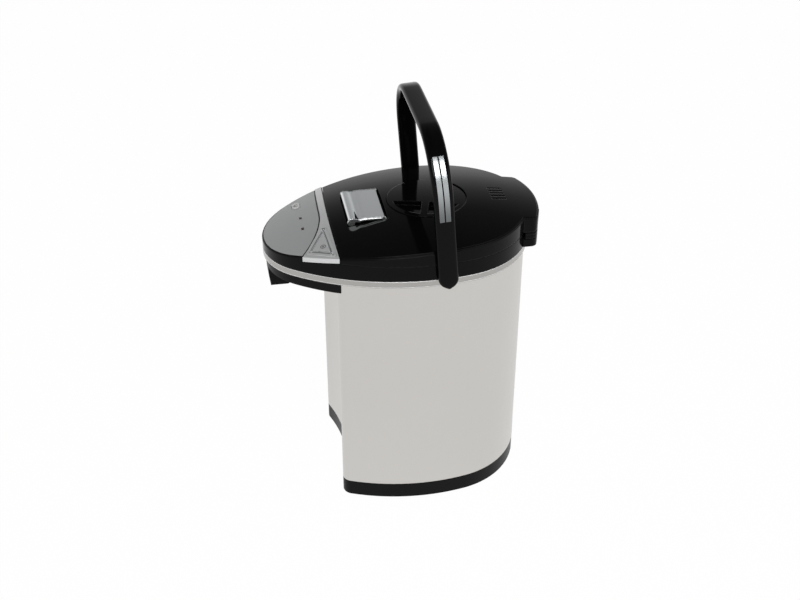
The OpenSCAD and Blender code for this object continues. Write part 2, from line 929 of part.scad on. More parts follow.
// From the pump's outlet to the bottom of the gauge tube
module riser_pipe() {
    y0 = pump_y - 28;
    z0 = volute_z + 6;
    color([0.9, 0.9, 0.9])
    difference() {
        union() {
            translate([riser_x, y0, z0]) rotate([90, 0, 0]) cylinder(r = 5, h = y0 - riser_y, $fn = fine);
            translate([riser_x, riser_y, z0]) sphere(r = 5, $fn = fine);
            translate([0, riser_y, z0]) rotate([0, 90, 0]) cylinder(r = 5, h = riser_x, $fn = fine);
            translate([0, riser_y, z0]) sphere(r = 5, $fn = fine);
            translate([0, riser_y, z0]) cylinder(r = 5, h = 60 - z0, $fn = fine);
        }
        translate([riser_x, y0 + 1, z0]) rotate([90, 0, 0]) cylinder(r = 3, h = y0 - riser_y + 1, $fn = fine);
        translate([0, riser_y, z0]) rotate([0, 90, 0]) cylinder(r = 3, h = riser_x, $fn = fine);
        translate([0, riser_y, z0]) cylinder(r = 3, h = 60, $fn = fine);
    }
}

// From the top of the gauge tube to the nozzle
module outlet_pipe() {
    z0 = steel_top + 2;
    neck_top = steel_top - spout_h + neck_h;
    color([0.9, 0.9, 0.9])
    difference() {
        union() {
            translate([0, riser_y, steel_top - 4]) cylinder(r = 6.5, h = 8, $fn = fine);
            translate([0, riser_y, z0]) rotate([90, 0, 0]) cylinder(r = 5.5, h = riser_y - nozzle_y, $fn = fine);
            translate([0, nozzle_y, z0]) sphere(r = 5.5, $fn = fine);
            translate([0, nozzle_y, neck_top]) cylinder(r = 5.5, h = z0 - neck_top, $fn = fine);
        }
        translate([0, riser_y, steel_top - 5]) cylinder(r = 3, h = 7, $fn = fine);
        translate([0, riser_y, z0]) rotate([90, 0, 0]) cylinder(r = 3, h = riser_y - nozzle_y, $fn = fine);
        translate([0, nozzle_y, neck_top - 1]) cylinder(r = 3, h = z0 - neck_top + 1, $fn = fine);
    }
}

power_z = 30;
module power_board() {
    color("darkgreen")
    translate([-75, -20, power_z]) cube([42, 66, 1.6]);
    color([0.25, 0.25, 0.25])
    translate([-66, -10, power_z + 1.5]) cube([22, 24, 14]);
}

// ---- lid ----

module lid_outer(e, drop, r) {
    rounded_top(seam_z + seam, drop, r) {
        lid_plan(e, -e);
        lid_plan(e - 0.3 * r, -e);
        lid_plan(e - r, -e);
    }
    // the hinge block's upper half hangs lower than the lid's skirt
    difference() {
        intersection() {
            translate([0, 0, tail_bottom]) linear_extrude(seam_z - tail_bottom + 10)
                intersection() {
                    tail_plan(e);
                    translate([-60, rear_reach - 12 - e]) square([120, 60]);
                }
            crown(drop + r);
        }
        // rounded lower rear edge, so that it clears the block as the lid opens
        difference() {
            translate([-60, hinge_y, tail_bottom - 1]) cube([120, 20, hinge_z - tail_bottom + 1]);
            translate([0, hinge_y, hinge_z]) rotate([0, 90, 0])
                cylinder(r = 9.2 + e, h = 200, center = true, $fn = fine);
        }
    }
}

latch_pocket_z = crown_at(0, latch_front) - 9;
latch_barrel_r = 3;
hook_y = keeper_y - 4;
hook_z = ring_top + 7;
// Slot that the hook hangs through
module hook_slot(z, h) {
    translate([-7, hook_y - 10, z]) cube([14, 14, h]);
}

module latch_pocket(e) {
    translate([-latch_w / 2 - 1 - e, latch_front - 1.2 - e, latch_pocket_z - e])
        cube([latch_w + 2 + 2 * e, latch_len + 1.2 + latch_barrel_r + play + 2 * e, 40]);
}

module steam_slots(z, h) {
    for (i = [0:vent_count - 1])
        translate([(i - (vent_count - 1) / 2) * vent_pitch, vent_y, z]) {
            translate([-vent_w / 2, -vent_len / 2 + vent_w / 2, 0]) cube([vent_w, vent_len - vent_w, h]);
            for (s = [-1, 1]) translate([0, s * (vent_len - vent_w) / 2, 0]) cylinder(r = vent_w / 2, h = h, $fn = 32);
        }
}

module lid_shell() {
    color([0.05, 0.05, 0.05])
    difference() {
        union() {
            difference() {
                lid_outer(0, 0, edge_r);
                difference() {
                    lid_outer(-wall, wall, 1);
                    // walls of the latch pocket
                    latch_pocket(2);
                    // collar round the pump's well
                    translate([0, tank_y, seam_z]) cylinder(r = well_r + 4.2, h = 60, $fn = smooth);
                }
                translate([0, 0, tail_bottom - 1]) linear_extrude(seam_z - tail_bottom + 3) lid_plan(-wall, wall);
            }
            // hinge lugs
            intersection() {
                for (s = [-1, 1])
                    translate([s * 29.2, hinge_y, hinge_z]) {
                        rotate([0, 90, 0]) cylinder(r = 4.2, h = 4, center = true, $fn = fine);
                        translate([-2, -4.2, 0]) cube([4, 8.4, 30]);
                    }
                crown(wall / 2);
            }
        }
        translate([0, hinge_y, hinge_z]) rotate([0, 90, 0])
            cylinder(r = hinge_pin_r + pin_fit, h = 66, center = true, $fn = fine);
        latch_pocket(0);
        hook_slot(latch_pocket_z - 5, 10);
        // well of the hand pump
        translate([0, tank_y, seam_z - 10]) cylinder(r = well_r, h = 80, $fn = smooth);
        intersection() {
            translate([0, tank_y, seam_z - 10]) cylinder(r = well_r + 2, h = 80, $fn = smooth);
            crown(wall);
        }
        steam_slots(seam_z + 10, 40);
        // slots for the collar's hinge lugs
        for (s = [-1, 1])
            translate([s * 23 - 3.6, hinge_y - 6, tail_bottom - 1])
                cube([7.2, 30, hinge_z - tail_bottom + 6.5]);
        // lines round the hinge block's upper half, level with the lid's seam
        for (line = [[seam_z - 0.8, 1.6], [seam_z - 4.4, 0.8]])
            translate([0, 0, line[0]]) linear_extrude(line[1])
                difference() {
                    tail_plan(5);
                    tail_plan(-0.8);
                    outline(0.2);
                }
        // holes for the latch's pin
        translate([0, latch_rear, latch_axis_z]) rotate([0, 90, 0])
            cylinder(r = latch_pin_r, h = latch_w + 10, center = true, $fn = fine);
    }
}

module pump_cylinder() {
    color([0.1, 0.1, 0.1])
    translate([0, tank_y, 0])
    difference() {
        intersection() {
            translate([0, 0, well_floor - 2]) cylinder(r = well_r + 2, h = 60, $fn = smooth);
            translate([0, -tank_y, 0]) crown(wall);
        }
        translate([0, 0, well_floor]) cylinder(r = well_r, h = 60, $fn = smooth);
        for (a = [0:60:300]) rotate([0, 0, a]) translate([34, 0, well_floor - 3]) cylinder(r = 2, h = 5, $fn = 24);
        translate([0, 0, well_floor - 3]) cylinder(r = 2.5, h = 5, $fn = 24);
    }
}

module lid_liner() {
    flange_t = 2;
    plug_r = mouth_r - 4;
    color([0.12, 0.12, 0.12])
    difference() {
        union() {
            translate([0, 0, seam_z + seam + 1.2]) linear_extrude(flange_t)
                intersection() {
                    outline(-wall - seam);
                    behind_bow(lid_front + wall + seam);
                    translate([-150, -150]) square([300, 150 + rear_reach - 12.5]);
                }
            translate([0, tank_y, ring_top + 1]) cylinder(r = plug_r, h = seam_z - ring_top + 2, $fn = smooth);
        }
        translate([0, tank_y, ring_top + 3]) cylinder(r = plug_r - wall, h = 60, $fn = smooth);
        translate([0, tank_y, ring_top - 1]) cylinder(r = well_r + 2.4, h = 60, $fn = smooth);
        translate([-tail_half - 2, rear_reach - 15.5, seam_z - 1]) cube([2 * tail_half + 4, 40, 20]);
        hook_slot(seam_z, 9);
        translate([0, vent_y - 6, seam_z]) cylinder(r = 6, h = 10, $fn = fine);
    }
}

module inner_lid_plate() {
    color("silver")
    translate([0, tank_y, ring_top])
    difference() {
        cylinder(r = mouth_r - 4, h = 1, $fn = smooth);
        translate([0, 0, -1]) cylinder(r = well_r + 2.4, h = 3, $fn = smooth);
        for (a = [15:30:345]) rotate([0, 0, a]) translate([58, 0, -1]) cylinder(r = 2, h = 3, $fn = 24);
    }
}

module lid_gasket() {
    color([0.85, 0.85, 0.83])
    translate([0, tank_y, ring_top + 2])
        rotate_extrude($fn = smooth) {
            translate([mouth_r - 4, 0]) square([2.2, 4]);
            translate([mouth_r - 2.4, 2]) circle(r = 1.6, $fn = 48);
        }
}

module steam_valve() {
    color([0.2, 0.2, 0.2])
    translate([0, vent_y - 6, seam_z + seam + 1.2])
    difference() {
        union() {
            cylinder(r = 5.9, h = 2, $fn = fine);
            translate([0, 0, 2 - eps]) cylinder(r = 9, h = 8, $fn = fine);
        }
        translate([0, 0, -1]) cylinder(r = 3, h = 12, $fn = fine);
    }
}

// ---- latch ----

latch_t = 2.4;
latch_curl_r = 4;
latch_pin_r = 1.5;

// Side view of the latch: a plate with a valley behind its rolled front lip
module latch_side() {
    difference() {
        union() {
            translate([latch_front + latch_curl_r, latch_z - latch_t])
                square([latch_len - latch_curl_r, latch_t]);
            translate([latch_front + latch_curl_r, latch_z - latch_curl_r]) circle(r = latch_curl_r, $fn = fine);
            translate([latch_rear, latch_axis_z]) circle(r = latch_barrel_r, $fn = fine);
            translate([latch_rear - latch_barrel_r, latch_axis_z]) square([latch_barrel_r, latch_drop]);
        }
        translate([latch_front + 11, latch_z + 6.8]) circle(r = 8, $fn = fine);
        translate([latch_front + latch_curl_r, latch_z - latch_curl_r])
            circle(r = latch_curl_r - 1.6, $fn = fine);
        translate([latch_front + latch_curl_r, latch_z - 3 * latch_curl_r])
            square([2 * latch_curl_r, 3 * latch_curl_r - latch_t]);
        translate([latch_rear, latch_axis_z]) circle(r = latch_pin_r + pin_fit, $fn = fine);
    }
}

module latch_lever() {
    corner = 2.5;
    color("silver")
    difference() {
        intersection() {
            translate([latch_w / 2, 0, 0]) rotate([90, 0, -90]) mirror([1, 0, 0])
                linear_extrude(latch_w) latch_side();
            // rounded rear corners
            translate([0, 0, latch_z - 20]) linear_extrude(30)
                union() {
                    translate([-latch_w / 2, latch_front]) square([latch_w, latch_len - corner]);
                    translate([corner - latch_w / 2, latch_front])
                        square([latch_w - 2 * corner, latch_len + latch_barrel_r]);
                    for (s = [-1, 1])
                        translate([s * (latch_w / 2 - corner), latch_rear - corner])
                            circle(r = corner, $fn = 48);
                }
        }
        // wedge-shaped gap behind the lip at one end
        translate([0, 0, latch_z - 8]) linear_extrude(20)
            polygon([[15, latch_front + 9], [latch_w / 2 - 1.5, latch_front + 7.6],
                     [latch_w / 2 - 1.5, latch_front + 11.6]]);
    }
}

module latch_pin() {
    color("silver")
    translate([0, latch_rear, latch_axis_z]) rotate([0, 90, 0])
        cylinder(r = latch_pin_r, h = latch_w + 6, center = true, $fn = fine);
}

// Hook that hangs from the latch into the collar
module latch_catch() {
    color([0.75, 0.75, 0.75])
    translate([5, 0, 0]) rotate([90, 0, -90]) mirror([1, 0, 0])
        linear_extrude(10)
            polygon([[hook_y - 2, latch_z - latch_t], [hook_y - 2, hook_z], [hook_y, hook_z],
                     [hook_y + 2.4, hook_z + 1.6], [hook_y + 2.4, hook_z + 2.4],
                     [hook_y + 0.6, hook_z + 4], [hook_y + 0.6, latch_z - latch_t]]);
}

// ---- hand pump ----

disc_top = crown_at(0, tank_y) + 0.3;
disc_dome_r = 450;
disc_crown = 9;
// Sleeve that guides the plunger and turns with it to lock it
module lock_ring() {
    color([0.15, 0.15, 0.15])
    translate([0, tank_y, well_floor + 0.1]) {
        ring(well_r - play, plunger_r + pin_fit, 2);
        translate([0, 0, 2 - eps]) ring(plunger_r + 3, plunger_r + pin_fit, 22);
    }
}

// Distance of the finger pockets' straight edge from the disc's centre
pocket_edge = 12.6;
module pump_disc() {
    bar_half = 4;
    rim = 6;
    color([0.05, 0.05, 0.05])
    translate([0, tank_y, 0])
    difference() {
        intersection() {
            translate([0, 0, disc_top - disc_skirt]) cylinder(r = disc_r, h = disc_skirt, $fn = smooth);
            translate([0, 0, disc_top - disc_dome_r]) sphere(r = disc_dome_r, $fn = 2 * smooth);
        }
        translate([0, 0, disc_top - disc_skirt - 1])
            cylinder(r = disc_r - 2, h = disc_skirt - disc_crown + 1, $fn = smooth);
        // finger pockets either side of the grip bar
        rotate([0, 0, disc_turn]) intersection() {
            translate([0, 0, disc_top - pocket_d]) cylinder(r = disc_r - rim, h = 20, $fn = fine);
            for (y = [-disc_r, bar_half])
                translate([pocket_edge, y, disc_top - pocket_d]) cube([disc_r, disc_r - bar_half, 20]);
        }
    }
}

plunger_r = 32;
plunger_top = disc_top - disc_crown;
plunger_plate = 3;
module pump_plunger() {
    color([0.8, 0.8, 0.78])
    translate([0, tank_y, well_floor + disc_travel + 0.3])
    difference() {
        cylinder(r = plunger_r, h = plunger_top - well_floor - disc_travel - 0.3, $fn = smooth);
        translate([0, 0, -1])
            cylinder(r = plunger_r - 2.5, h = plunger_top - plunger_plate - well_floor - disc_travel + 0.7,
                     $fn = smooth);
    }
}

bellows_z = well_floor;
bellows_top = plunger_top - plunger_plate;
module pump_bellows() {
    folds = 5;
    h = bellows_top - bellows_z;
    p = h / folds;
    color([0.75, 0.75, 0.72])
    translate([0, tank_y, bellows_z])
        rotate_extrude($fn = 72)
            polygon(concat(
                [for (i = [0:folds]) each i < folds ? [[22, i * p], [28, (i + 0.5) * p]] : [[22, i * p]]],
                [for (i = [folds:-1:0]) each i > 0 ? [[20.6, i * p], [26.4, (i - 0.5) * p]] : [[20.6, 0]]]));
}

module return_spring() {
    wire = 1.2;
    turns = 5;
    r = 14;
    h = bellows_top - bellows_z - 2 * wire - 0.2;
    steps = turns * 20;
    sides = 6;
    pts = [for (i = [0:steps]) let (a = 360 * i / 20, z = wire + 0.1 + h * i / steps)
        for (k = [0:sides - 1]) let (b = 360 * k / sides)
            [(r + wire * cos(b)) * cos(a), (r + wire * cos(b)) * sin(a), z + wire * sin(b)]];
    faces = concat(
        [[for (k = [0:sides - 1]) k]],
        [for (i = [0:steps - 1], k = [0:sides - 1])
            [i * sides + k, (i + 1) * sides + k, (i + 1) * sides + (k + 1) % sides, i * sides + (k + 1) % sides]],
        [[for (k = [sides - 1:-1:0]) steps * sides + k]]);
    color("silver")
    translate([0, tank_y, bellows_z]) polyhedron(points = pts, faces = faces, convexity = 6);
}

// ---- handle ----

// Front view of the bail: a U with round bends, offset inwards by e
module bail_front(e) {
    out = handle_x + strap_t;
    difference() {
        union() {
            translate([-out, 0]) square([2 * out, grip_up - bend_r + strap_t / 2]);
            translate([-grip_half, 0]) square([2 * grip_half, grip_up + strap_t / 2]);
            for (s = [-1, 1]) translate([s * grip_half, grip_up + strap_t / 2 - bend_r]) circle(r = bend_r, $fn = smooth);
        }
        translate([-out + strap_t, -50]) square([2 * (out - strap_t), 50 + grip_up - bend_r + strap_t / 2]);
        translate([-grip_half, -50]) square([2 * grip_half, 50 + grip_up - strap_t / 2]);
        for (s = [-1, 1])
            translate([s * grip_half, grip_up + strap_t / 2 - bend_r]) circle(r = bend_r - strap_t, $fn = smooth);
    }
}

module at_handle() {
    translate([0, handle_y, handle_z]) rotate([handle_lean, 0, 0]) children();
}

inlay_z0 = 72;
inlay_z1 = 138;
module handle_bail() {
    color([0.05, 0.05, 0.05])
    at_handle()
    difference() {
        union() {
            translate([0, strap_w / 2, 0]) rotate([90, 0, 0]) linear_extrude(strap_w) bail_front(0);
            for (s = [-1, 1]) translate([s * (handle_x + strap_t / 2), 0, 0]) rotate([0, 90, 0])
                cylinder(r = strap_w / 2, h = strap_t, center = true, $fn = fine);
        }
        rotate([0, 90, 0])
            cylinder(r = handle_pin_r + pin_fit, h = 2 * (handle_x + strap_t - 3), center = true, $fn = fine);
        handle_inlays_body();
    }
}

// The two bright lines set into each leg's outer face
module handle_inlays_body() {
    intersection() {
        union() {
            for (k = [-1, 1])
                translate([0, k * 3.3 + 2.6, 0]) rotate([90, 0, 0]) linear_extrude(5.2)
                    difference() {
                        bail_front(0);
                        translate([0, -1.2]) bail_inner();
                    }
        }
        translate([-200, -20, inlay_z0]) cube([400, 40, inlay_z1 - inlay_z0]);
    }
}

// The bail's outline drawn in by the depth of the inlays
module bail_inner() {
    d = 1.2;
    out = handle_x + strap_t - d;
    translate([-out, -50]) square([2 * out, 50 + grip_up - bend_r + strap_t / 2 + d]);
    for (s = [-1, 1]) translate([s * grip_half, grip_up + strap_t / 2 - bend_r + d]) circle(r = bend_r - d, $fn = smooth);
    translate([-grip_half, 0]) square([2 * grip_half, grip_up + strap_t / 2]);
}

module handle_inlays() {
    color("silver") at_handle() handle_inlays_body();
}

body_shell();
base_moulding();
base_cover();
rubber_feet();
base_screws();
inlet_housing();
inlet_pins();
gauge_window();
gauge_tube();
trim_ring();
collar();
hinge_block();
hinge_pin();
handle_pins();
keeper_plate();
tank_posts();
control_panel();
panel_strip();
indicator_lights();
circuit_board();
key_switches();
spout_housing();
spout_nozzle();
inner_tank();
tank_seal();
tank_filter();
heater_plate();
thermostat();
thermal_fuse();
pump_housing();
pump_motor();
feed_pipe();
riser_pipe();
outlet_pipe();
power_board();
lid_shell();
lid_liner();
inner_lid_plate();
lid_gasket();
pump_cylinder();
steam_valve();
latch_pin();
latch_lever();
latch_catch();
lock_ring();
pump_disc();
pump_plunger();
pump_bellows();
return_spring();
handle_bail();
handle_inlays();
boil_key();
round_key();
impeller();
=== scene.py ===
import json
import math

import bpy
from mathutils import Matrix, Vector


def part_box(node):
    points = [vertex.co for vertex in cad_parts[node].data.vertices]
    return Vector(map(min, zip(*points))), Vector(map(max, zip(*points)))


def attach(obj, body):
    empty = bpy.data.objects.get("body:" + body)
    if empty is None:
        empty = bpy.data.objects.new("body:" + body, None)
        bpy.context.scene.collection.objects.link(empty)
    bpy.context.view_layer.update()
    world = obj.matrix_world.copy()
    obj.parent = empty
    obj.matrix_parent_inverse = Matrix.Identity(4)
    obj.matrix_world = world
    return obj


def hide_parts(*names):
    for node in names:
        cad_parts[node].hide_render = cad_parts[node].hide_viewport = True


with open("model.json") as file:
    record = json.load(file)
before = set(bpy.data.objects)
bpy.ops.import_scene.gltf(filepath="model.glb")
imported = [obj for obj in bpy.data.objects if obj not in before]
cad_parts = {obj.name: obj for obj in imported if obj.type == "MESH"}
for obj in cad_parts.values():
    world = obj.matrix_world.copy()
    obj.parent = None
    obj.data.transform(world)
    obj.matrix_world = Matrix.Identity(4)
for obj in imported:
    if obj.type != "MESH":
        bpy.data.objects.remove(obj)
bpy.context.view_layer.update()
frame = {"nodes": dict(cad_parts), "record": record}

# An electric thermo pot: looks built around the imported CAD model. Metres, +Z up, the spout faces -Y.

MM = 0.001
nodes = frame["nodes"]
scene = bpy.context.scene


# ---- node groups shared by the materials ----

def new_group(name, inputs, outputs):
    """A node group with named sockets; returns the tree and its input and output nodes."""
    tree = bpy.data.node_groups.new(name, "ShaderNodeTree")
    for title, kind, value in inputs:
        socket = tree.interface.new_socket(title, in_out="INPUT", socket_type=kind)
        if value is not None:
            socket.default_value = value
    for title, kind in outputs:
        tree.interface.new_socket(title, in_out="OUTPUT", socket_type=kind)
    return tree, tree.nodes.new("NodeGroupInput"), tree.nodes.new("NodeGroupOutput")


def math_node(tree, operation, a, b):
    """A maths node fed with two sockets or numbers; returns its output."""
    node = tree.nodes.new("ShaderNodeMath")
    node.operation = operation
    for k, value in enumerate((a, b)):
        if isinstance(value, (int, float)):
            node.inputs[k].default_value = value
        else:
            tree.links.new(value, node.inputs[k])
    return node.outputs[0]


def noise_node(tree, vector, scale, detail=4.0):
    """A noise texture on a vector; returns its value output."""
    node = tree.nodes.new("ShaderNodeTexNoise")
    node.inputs["Detail"].default_value = detail
    tree.links.new(vector, node.inputs["Vector"])
    if isinstance(scale, (int, float)):
        node.inputs["Scale"].default_value = scale
    else:
        tree.links.new(scale, node.inputs["Scale"])
    return node.outputs["Fac"]


def ramp_node(tree, value, low, high, start, end):
    """A value that runs smoothly from start to end as another runs from low to high."""
    node = tree.nodes.new("ShaderNodeMapRange")
    node.interpolation_type = "SMOOTHSTEP"
    tree.links.new(value, node.inputs["Value"])
    for title, number in (("From Min", low), ("From Max", high), ("To Min", start), ("To Max", end)):
        node.inputs[title].default_value = number
    return node.outputs["Result"]


def mottle_group():
    """Slow and fine changes of tone over a colour."""
    tree, given, result = new_group(
        "mottle",
        [("Color", "NodeSocketColor", (0.5, 0.5, 0.5, 1)), ("Scale", "NodeSocketFloat", 40.0),
         ("Amount", "NodeSocketFloat", 0.08)],
        [("Color", "NodeSocketColor"), ("Value", "NodeSocketFloat")],
    )
    place = tree.nodes.new("ShaderNodeTexCoord")
    slow = noise_node(tree, place.outputs["Object"], given.outputs["Scale"])
    finer = math_node(tree, "MULTIPLY", given.outputs["Scale"], 9.0)
    quick = noise_node(tree, place.outputs["Object"], finer, 2.0)
    slow_share = math_node(tree, "MULTIPLY", slow, 0.7)
    both = math_node(tree, "ADD", slow_share, math_node(tree, "MULTIPLY", quick, 0.3))
    centred = math_node(tree, "MULTIPLY", math_node(tree, "SUBTRACT", both, 0.5), given.outputs["Amount"])
    factor = math_node(tree, "ADD", math_node(tree, "MULTIPLY", centred, 4.0), 1.0)
    tinted = tree.nodes.new("ShaderNodeVectorMath")
    tinted.operation = "SCALE"
    tree.links.new(given.outputs["Color"], tinted.inputs[0])
    tree.links.new(factor, tinted.inputs["Scale"])
    tree.links.new(tinted.outputs[0], result.inputs["Color"])
    tree.links.new(both, result.inputs["Value"])
    return tree


def grain_group():
    """Fine grain drawn out along chosen directions, as a value and as a normal."""
    tree, given, result = new_group(
        "grain",
        [("Stretch", "NodeSocketVector", (1.0, 1.0, 1.0)), ("Scale", "NodeSocketFloat", 900.0),
         ("Depth", "NodeSocketFloat", 0.00002), ("Normal", "NodeSocketVector", None)],
        [("Value", "NodeSocketFloat"), ("Normal", "NodeSocketVector")],
    )
    place = tree.nodes.new("ShaderNodeTexCoord")
    drawn = tree.nodes.new("ShaderNodeVectorMath")
    drawn.operation = "MULTIPLY"
    tree.links.new(place.outputs["Object"], drawn.inputs[0])
    tree.links.new(given.outputs["Stretch"], drawn.inputs[1])
    value = noise_node(tree, drawn.outputs[0], given.outputs["Scale"], 3.0)
    bump = tree.nodes.new("ShaderNodeBump")
    bump.inputs["Strength"].default_value = 1.0
    tree.links.new(given.outputs["Depth"], bump.inputs["Distance"])
    tree.links.new(value, bump.inputs["Height"])
    tree.links.new(given.outputs["Normal"], bump.inputs["Normal"])
    tree.links.new(value, result.inputs["Value"])
    tree.links.new(bump.outputs["Normal"], result.inputs["Normal"])
    return tree


def soft_edge_group():
    """The small rounding that moulded and pressed edges have, and a mask of where it is."""
    tree, given, result = new_group(
        "soft_edge",
        [("Radius", "NodeSocketFloat", 0.0006)],
        [("Normal", "NodeSocketVector"), ("Mask", "NodeSocketFloat")],
    )
    bevel = tree.nodes.new("ShaderNodeBevel")
    bevel.samples = 6
    tree.links.new(given.outputs["Radius"], bevel.inputs["Radius"])
    surface = tree.nodes.new("ShaderNodeNewGeometry")
    dot = tree.nodes.new("ShaderNodeVectorMath")
    dot.operation = "DOT_PRODUCT"
    tree.links.new(bevel.outputs["Normal"], dot.inputs[0])
    tree.links.new(surface.outputs["Normal"], dot.inputs[1])
    mask = math_node(tree, "MULTIPLY", math_node(tree, "SUBTRACT", 1.0, dot.outputs["Value"]), 3.0)
    tree.links.new(bevel.outputs["Normal"], result.inputs["Normal"])
    tree.links.new(mask, result.inputs["Mask"])
    return tree


def dust_group():
    """A thin uneven film on faces that look up."""
    tree, given, result = new_group(
        "dust",
        [("Scale", "NodeSocketFloat", 300.0), ("Amount", "NodeSocketFloat", 0.04)],
        [("Mask", "NodeSocketFloat")],
    )
    place = tree.nodes.new("ShaderNodeTexCoord")
    speck = noise_node(tree, place.outputs["Object"], given.outputs["Scale"], 6.0)
    surface = tree.nodes.new("ShaderNodeNewGeometry")
    split = tree.nodes.new("ShaderNodeSeparateXYZ")
    tree.links.new(surface.outputs["Normal"], split.inputs[0])
    up = math_node(tree, "MAXIMUM", split.outputs["Z"], 0.0)
    thick = math_node(tree, "MULTIPLY", math_node(tree, "POWER", speck, 3.0), up)
    tree.links.new(math_node(tree, "MULTIPLY", thick, given.outputs["Amount"]), result.inputs["Mask"])
    return tree


MOTTLE = mottle_group()
GRAIN = grain_group()
SOFT_EDGE = soft_edge_group()
DUST = dust_group()
DUST_TONE = (0.5, 0.49, 0.47, 1)


def finish(name, color, rough, metal=0.0, level=0.5, mottle=0.06, mottle_scale=30.0, stretch=(1, 1, 1),
           grain_scale=900.0, depth=0.000004, grain_rough=0.1, edge=0.0004, edge_light=0.15, dust=0.03):
    """A surface finish from its colour, roughness and grain; colours are linear."""
    material = bpy.data.materials.new(name)
    material.use_nodes = True
    tree = material.node_tree
    shader = tree.nodes["Principled BSDF"]
    shader.inputs["Metallic"].default_value = metal
    shader.inputs["Specular IOR Level"].default_value = level

    tone = tree.nodes.new("ShaderNodeGroup")
    tone.node_tree = MOTTLE
    tone.inputs["Color"].default_value = (*color, 1)
    tone.inputs["Scale"].default_value = mottle_scale
    tone.inputs["Amount"].default_value = mottle

    round_off = tree.nodes.new("ShaderNodeGroup")
    round_off.node_tree = SOFT_EDGE
    round_off.inputs["Radius"].default_value = edge

    grain = tree.nodes.new("ShaderNodeGroup")
    grain.node_tree = GRAIN
    grain.inputs["Stretch"].default_value = stretch
    grain.inputs["Scale"].default_value = grain_scale
    grain.inputs["Depth"].default_value = depth
    tree.links.new(round_off.outputs["Normal"], grain.inputs["Normal"])

    film = tree.nodes.new("ShaderNodeGroup")
    film.node_tree = DUST
    film.inputs["Amount"].default_value = dust

    # Rounded edges are painted lighter, partly as rubbed wear and partly as a painted highlight
    worn_and_highlit = tree.nodes.new("ShaderNodeMix")
    worn_and_highlit.data_type = "RGBA"
    worn_and_highlit.inputs["B"].default_value = (*[min(1.0, c * 1.4 + 0.01) for c in color], 1)
    tree.links.new(math_node(tree, "MULTIPLY", round_off.outputs["Mask"], edge_light), worn_and_highlit.inputs["Factor"])
    tree.links.new(tone.outputs["Color"], worn_and_highlit.inputs["A"])
    dusty = tree.nodes.new("ShaderNodeMix")
    dusty.data_type = "RGBA"
    dusty.inputs["B"].default_value = DUST_TONE
    tree.links.new(film.outputs["Mask"], dusty.inputs["Factor"])
    tree.links.new(worn_and_highlit.outputs["Result"], dusty.inputs["A"])
    tree.links.new(dusty.outputs["Result"], shader.inputs["Base Color"])

    centred = math_node(tree, "SUBTRACT", grain.outputs["Value"], 0.5)
    varied = math_node(tree, "MULTIPLY", centred, grain_rough)
    tree.links.new(math_node(tree, "ADD", varied, rough), shader.inputs["Roughness"])
    tree.links.new(grain.outputs["Normal"], shader.inputs["Normal"])
    return material


